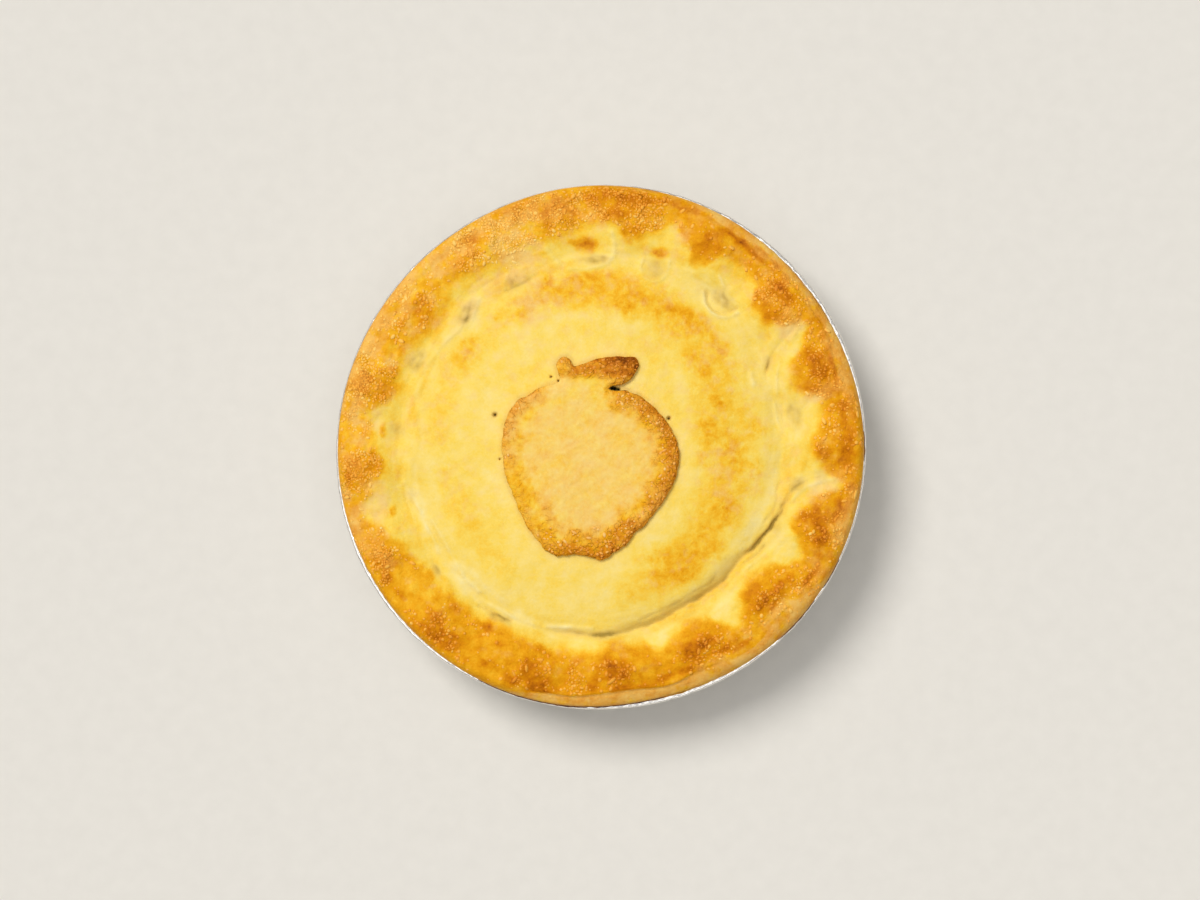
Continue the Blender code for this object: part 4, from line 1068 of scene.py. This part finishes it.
def glazed_shortcrust(name, grain_height, grain_tint, dryness):
    """Shortcrust, rolled and brushed with egg before baking: matt and pale, and glossier where brown."""
    made, tree, shader = new_material(name)
    place = add(tree, "TexCoord", output="Object")
    browning, peach, damp_shade, blistered = (
        add(tree, "Attribute", output="Fac", attribute_name=label)
        for label in ("browning", "peach", "damp_shade", "blistered")
    )
    # flecks of butter and flour brown unevenly, in patches of 3.5 mm and grains of 0.9 mm
    patches = {"Vector": place, "Scale": 1 / (3.5 * MM), "Detail": 4.0, "Roughness": 0.55}
    patches = add(tree, "TexNoise", patches)
    grains = {"Vector": place, "Scale": 1 / (0.9 * MM), "Detail": 3.0, "Roughness": 0.6}
    grains = add(tree, "TexNoise", grains)
    flecks = {0: patches, 1: PATCH_TINT, 2: -0.5 * (PATCH_TINT + grain_tint)}
    flecks = add(tree, "Math", flecks, operation="MULTIPLY_ADD")
    flecks = add(tree, "Math", {0: grains, 1: grain_tint, 2: flecks}, operation="MULTIPLY_ADD")
    # least where the dough is still pale
    share = {"Value": browning, "From Min": 0.2, "From Max": 0.5, "To Min": 0.6, "To Max": 1.25}
    share = add(tree, "MapRange", share)
    baked = add(tree, "Math", {0: flecks, 1: share, 2: browning}, operation="MULTIPLY_ADD")
    glazed = add(tree, "ValToRGB", {"Fac": baked}, stops=GLAZED)
    dull = add(tree, "ValToRGB", {"Fac": baked}, stops=DULL)
    # the glaze has dried unevenly too, but not where it is brownest
    dried = {"Vector": place, "Scale": 1 / (4.5 * MM), "Detail": 2.0, "Roughness": 0.6}
    dried = add(tree, "TexNoise", dried)
    dried = {"Value": dried, "From Min": 0.3, "From Max": 0.7, "To Min": -dryness, "To Max": dryness}
    dried = add(tree, "MapRange", dried)
    left = {"Value": browning, "From Min": 0.5, "From Max": 0.75, "To Min": 1.0, "To Max": 0.35}
    left = add(tree, "MapRange", left)
    dried = add(tree, "Math", {0: dried, 1: left}, operation="MULTIPLY")
    dried = add(tree, "Math", {0: dried, 1: share, 2: peach}, operation="MULTIPLY_ADD", use_clamp=True)
    tint = add(tree, "Mix", {"Factor": dried, 6: glazed, 7: dull}, 2, data_type="RGBA")
    # bubbles about a millimetre across, and the curled ridges between those that have run together
    dots = {"Vector": place, "Scale": 1 / (2.0 * MM), "Randomness": 1.0}
    dots = add(tree, "TexVoronoi", dots, feature="F1")
    dots = {"Value": dots, "From Min": 0.16, "From Max": 0.40, "To Min": 1.0, "To Max": 0.0}
    dots = add(tree, "MapRange", dots)
    curls = {"Vector": place, "Scale": 1 / (2.6 * MM), "Detail": 1.0, "Roughness": 0.5, "Distortion": 0.8}
    curls = add(tree, "TexNoise", curls)
    curls = add(tree, "Math", {0: curls, 1: 0.5}, operation="SUBTRACT")
    curls = add(tree, "Math", {0: curls}, operation="ABSOLUTE")
    curls = {"Value": curls, "From Min": 0.01, "From Max": 0.04, "To Min": 0.7, "To Max": 0.0}
    curls = add(tree, "MapRange", curls)
    bubbles = add(tree, "Math", {0: dots, 1: curls}, operation="MAXIMUM")
    bubbles = add(tree, "Math", {0: bubbles, 1: blistered}, operation="MULTIPLY")
    skin = add(tree, "ValToRGB", {"Fac": browning}, stops=BUBBLED)
    thin = add(tree, "Math", {0: bubbles, 1: 0.6}, operation="MULTIPLY")
    tint = add(tree, "Mix", {"Factor": thin, 6: tint, 7: skin}, 2, data_type="RGBA")
    # soaked dough and painted shade: dents, folds, creases, moat, round the pastry apple, and dark in the
    # vents
    juice = add(tree, "ValToRGB", {"Fac": damp_shade}, stops=SOAKED_AND_SHADE)
    tint = add(tree, "Mix", {"Factor": damp_shade, 6: tint, 7: juice}, 2, data_type="RGBA")
    gloss = {"Value": baked, "From Min": 0.1, "From Max": 0.9, "To Min": 0.62, "To Max": 0.45}
    gloss = add(tree, "MapRange", gloss)
    # relief too fine for the mesh: grains, bubbles, and curls of 1.7 mm among them
    relief = {"Vector": place, "Scale": 1 / (0.9 * MM), "Detail": 3.0, "Roughness": 0.65}
    relief = add(tree, "TexNoise", relief)
    relief = add(tree, "Math", {0: relief, 1: share}, operation="MULTIPLY")
    relief = add(tree, "Math", {0: bubbles, 1: 1.5, 2: relief}, operation="MULTIPLY_ADD")
    curled = {"Vector": place, "Scale": 1 / (1.7 * MM), "Detail": 1.0, "Roughness": 0.5, "Distortion": 1.2}
    curled = add(tree, "TexNoise", curled)
    curled = add(tree, "Math", {0: curled, 1: blistered}, operation="MULTIPLY")
    relief = add(tree, "Math", {0: curled, 1: 2.4, 2: relief}, operation="MULTIPLY_ADD")
    bump = add(tree, "Bump", {"Height": relief, "Strength": 1.0, "Distance": grain_height})
    feed(tree, shader, {"Base Color": tint, "Roughness": gloss, "Normal": bump})
    feed(tree, shader, {"IOR": PASTRY_IOR, "Specular IOR Level": 0.05})
    return made


def blistered_glaze(name, skins):
    """The skin of a bubble in the glaze: thin, dry and paler than the pastry under it, with a painted
    highlight on top.
    """
    made, tree, shader = new_material(name)
    browning = add(tree, "Attribute", output="Fac", attribute_name="browning")
    skin = add(tree, "ValToRGB", {"Fac": browning}, stops=skins)
    feed(tree, shader, {"Base Color": skin, "Roughness": 0.35, "IOR": PASTRY_IOR, "Specular IOR Level": 0.06})
    return made


def caramel():
    """Apple juice boiled down to a dark, sticky, glossy brown, with clots of 2 mm."""
    made, tree, shader = new_material("caramelised_juice")
    place = add(tree, "TexCoord", output="Object")
    clots = add(tree, "TexNoise", {"Vector": place, "Scale": 1 / (2.0 * MM), "Detail": 3.0})
    tint = add(tree, "ValToRGB", {"Fac": clots}, stops=((0.35, "#50290c"), (0.65, "#9a5e20")))
    feed(tree, shader, {"Base Color": tint, "Roughness": 0.25, "IOR": 1.45})
    return made


def rolled_foil():
    """Aluminium foil, cold rolled and then drawn into a dish, so that it is bright but never flat."""
    made, tree, shader = new_material("rolled_foil")
    place = add(tree, "TexCoord", output="Object")
    # drawing it has crumpled it every 2.5 mm, and the rolls have left it mottled in patches of a centimetre
    crumple = add(tree, "TexNoise", {"Vector": place, "Scale": 1 / (2.5 * MM), "Detail": 3.0})
    bump = add(tree, "Bump", {"Height": crumple, "Strength": 1.0, "Distance": 0.04 * MM})
    haze = add(tree, "TexNoise", {"Vector": place, "Scale": 1 / (10 * MM), "Detail": 3.0})
    haze = add(tree, "MapRange", {"Value": haze, "To Min": 0.12, "To Max": 0.24})
    feed(tree, shader, {"Base Color": colour("#f3efe8"), "Metallic": 1.0, "Roughness": haze, "Normal": bump})
    return made


def pale_paper():
    """A sheet of pale matt paper, faintly clouded by its fibres."""
    made, tree, shader = new_material("pale_paper")
    place = add(tree, "TexCoord", output="Object")
    fibres = add(tree, "TexNoise", {"Vector": place, "Scale": 1 / (6 * MM), "Detail": 3.0})
    tint = add(tree, "ValToRGB", {"Fac": fibres}, stops=((0.3, "#e2ded6"), (0.7, "#e5e1d9")))
    feed(tree, shader, {"Base Color": tint, "Roughness": 0.9})
    return made


# ---------------------------------------------------------------- scene


def camera():
    """Straight above the pie, far enough up to see it almost without perspective."""
    height, seen = 1.2, 0.4092  # how wide the picture is at the height of the tin's rim
    data = bpy.data.cameras.new("camera")
    data.sensor_width = 36.0
    data.lens = 36.0 * (height - TIN_HEIGHT) / seen
    obj = put("camera", data)
    obj.location = (-0.34 * MM, -1.0 * MM, height)
    bpy.context.scene.camera = obj


def lights():
    """A big soft light high on the upper left, and an even pale surround that is brightest overhead."""
    data = bpy.data.lights.new("key", "SUN")
    data.energy = 1.95
    data.angle = math.radians(24)
    data.color = (1.0, 0.985, 0.96)
    put("key", data).rotation_euler = Vector((0.42, -0.42, -0.88)).to_track_quat("-Z", "Y").to_euler()
    world = bpy.data.worlds.new("surround")
    world.use_nodes = True
    bpy.context.scene.world = world
    tree = world.node_tree
    direction = add(tree, "TexCoord", output="Generated")
    height = add(tree, "SeparateXYZ", {0: direction}, "Z")
    height = add(tree, "Math", {0: height, 1: 0.0}, operation="MAXIMUM")
    overhead = add(tree, "Math", {0: height, 1: 5.0}, operation="POWER")
    bright = add(tree, "Math", {0: overhead, 1: 1.05, 2: 0.20}, operation="MULTIPLY_ADD")
    # the foil reflects the bright and dark parts of a room
    room = add(tree, "TexNoise", {"Vector": direction, "Scale": 3.0, "Detail": 1.0})
    room = {"Value": room, "From Min": 0.38, "From Max": 0.53, "To Min": 0.40, "To Max": 1.40}
    room = add(tree, "MapRange", room)
    low = {"Value": height, "From Min": 0.10, "From Max": 0.50, "To Min": 0.10, "To Max": 1.0}
    low = add(tree, "MapRange", low)
    room = add(tree, "Math", {0: room, 1: low}, operation="MULTIPLY")
    mirrored = add(tree, "LightPath", output="Is Glossy Ray")
    bright = add(tree, "Mix", {0: mirrored, 2: bright, 3: room}, data_type="FLOAT")
    feed(tree, tree.nodes["Background"], {"Color": (1.0, 1.0, 1.0, 1.0), "Strength": bright})


def floor():
    half = 1.5  # metres
    mesh = bpy.data.meshes.new("floor")
    corners = [(-half, -half, 0), (half, -half, 0), (half, half, 0), (-half, half, 0)]
    mesh.from_pydata(corners, [], [(0, 1, 2, 3)])
    mesh.materials.append(pale_paper())
    put("floor", mesh)


def dress(piece, material):
    piece.data.materials.append(material)
    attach(piece, "root")


def main():
    camera()
    lights()
    floor()
    shell = crust()
    dress(shell, glazed_shortcrust("glazed_shortcrust", 0.22 * MM, 0.22, 0.80))
    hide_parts("pie")
    dress(crust_blisters(), blistered_glaze("blistered_glaze", BUBBLED))
    dress(baked_juice(), caramel())
    apple = pastry_apple()
    dress(apple, glazed_shortcrust("toasted_shortcrust", 0.20 * MM, 0.24, 0.35))
    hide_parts("pastry_apple")
    dress(apple_blisters(), blistered_glaze("blistered_edge", DULL_BUBBLED))
    tin = pleated_tin()
    dress(tin, rolled_foil())
    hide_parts("foil_tin")
    bpy.context.scene.view_settings.view_transform = "Standard"


main()
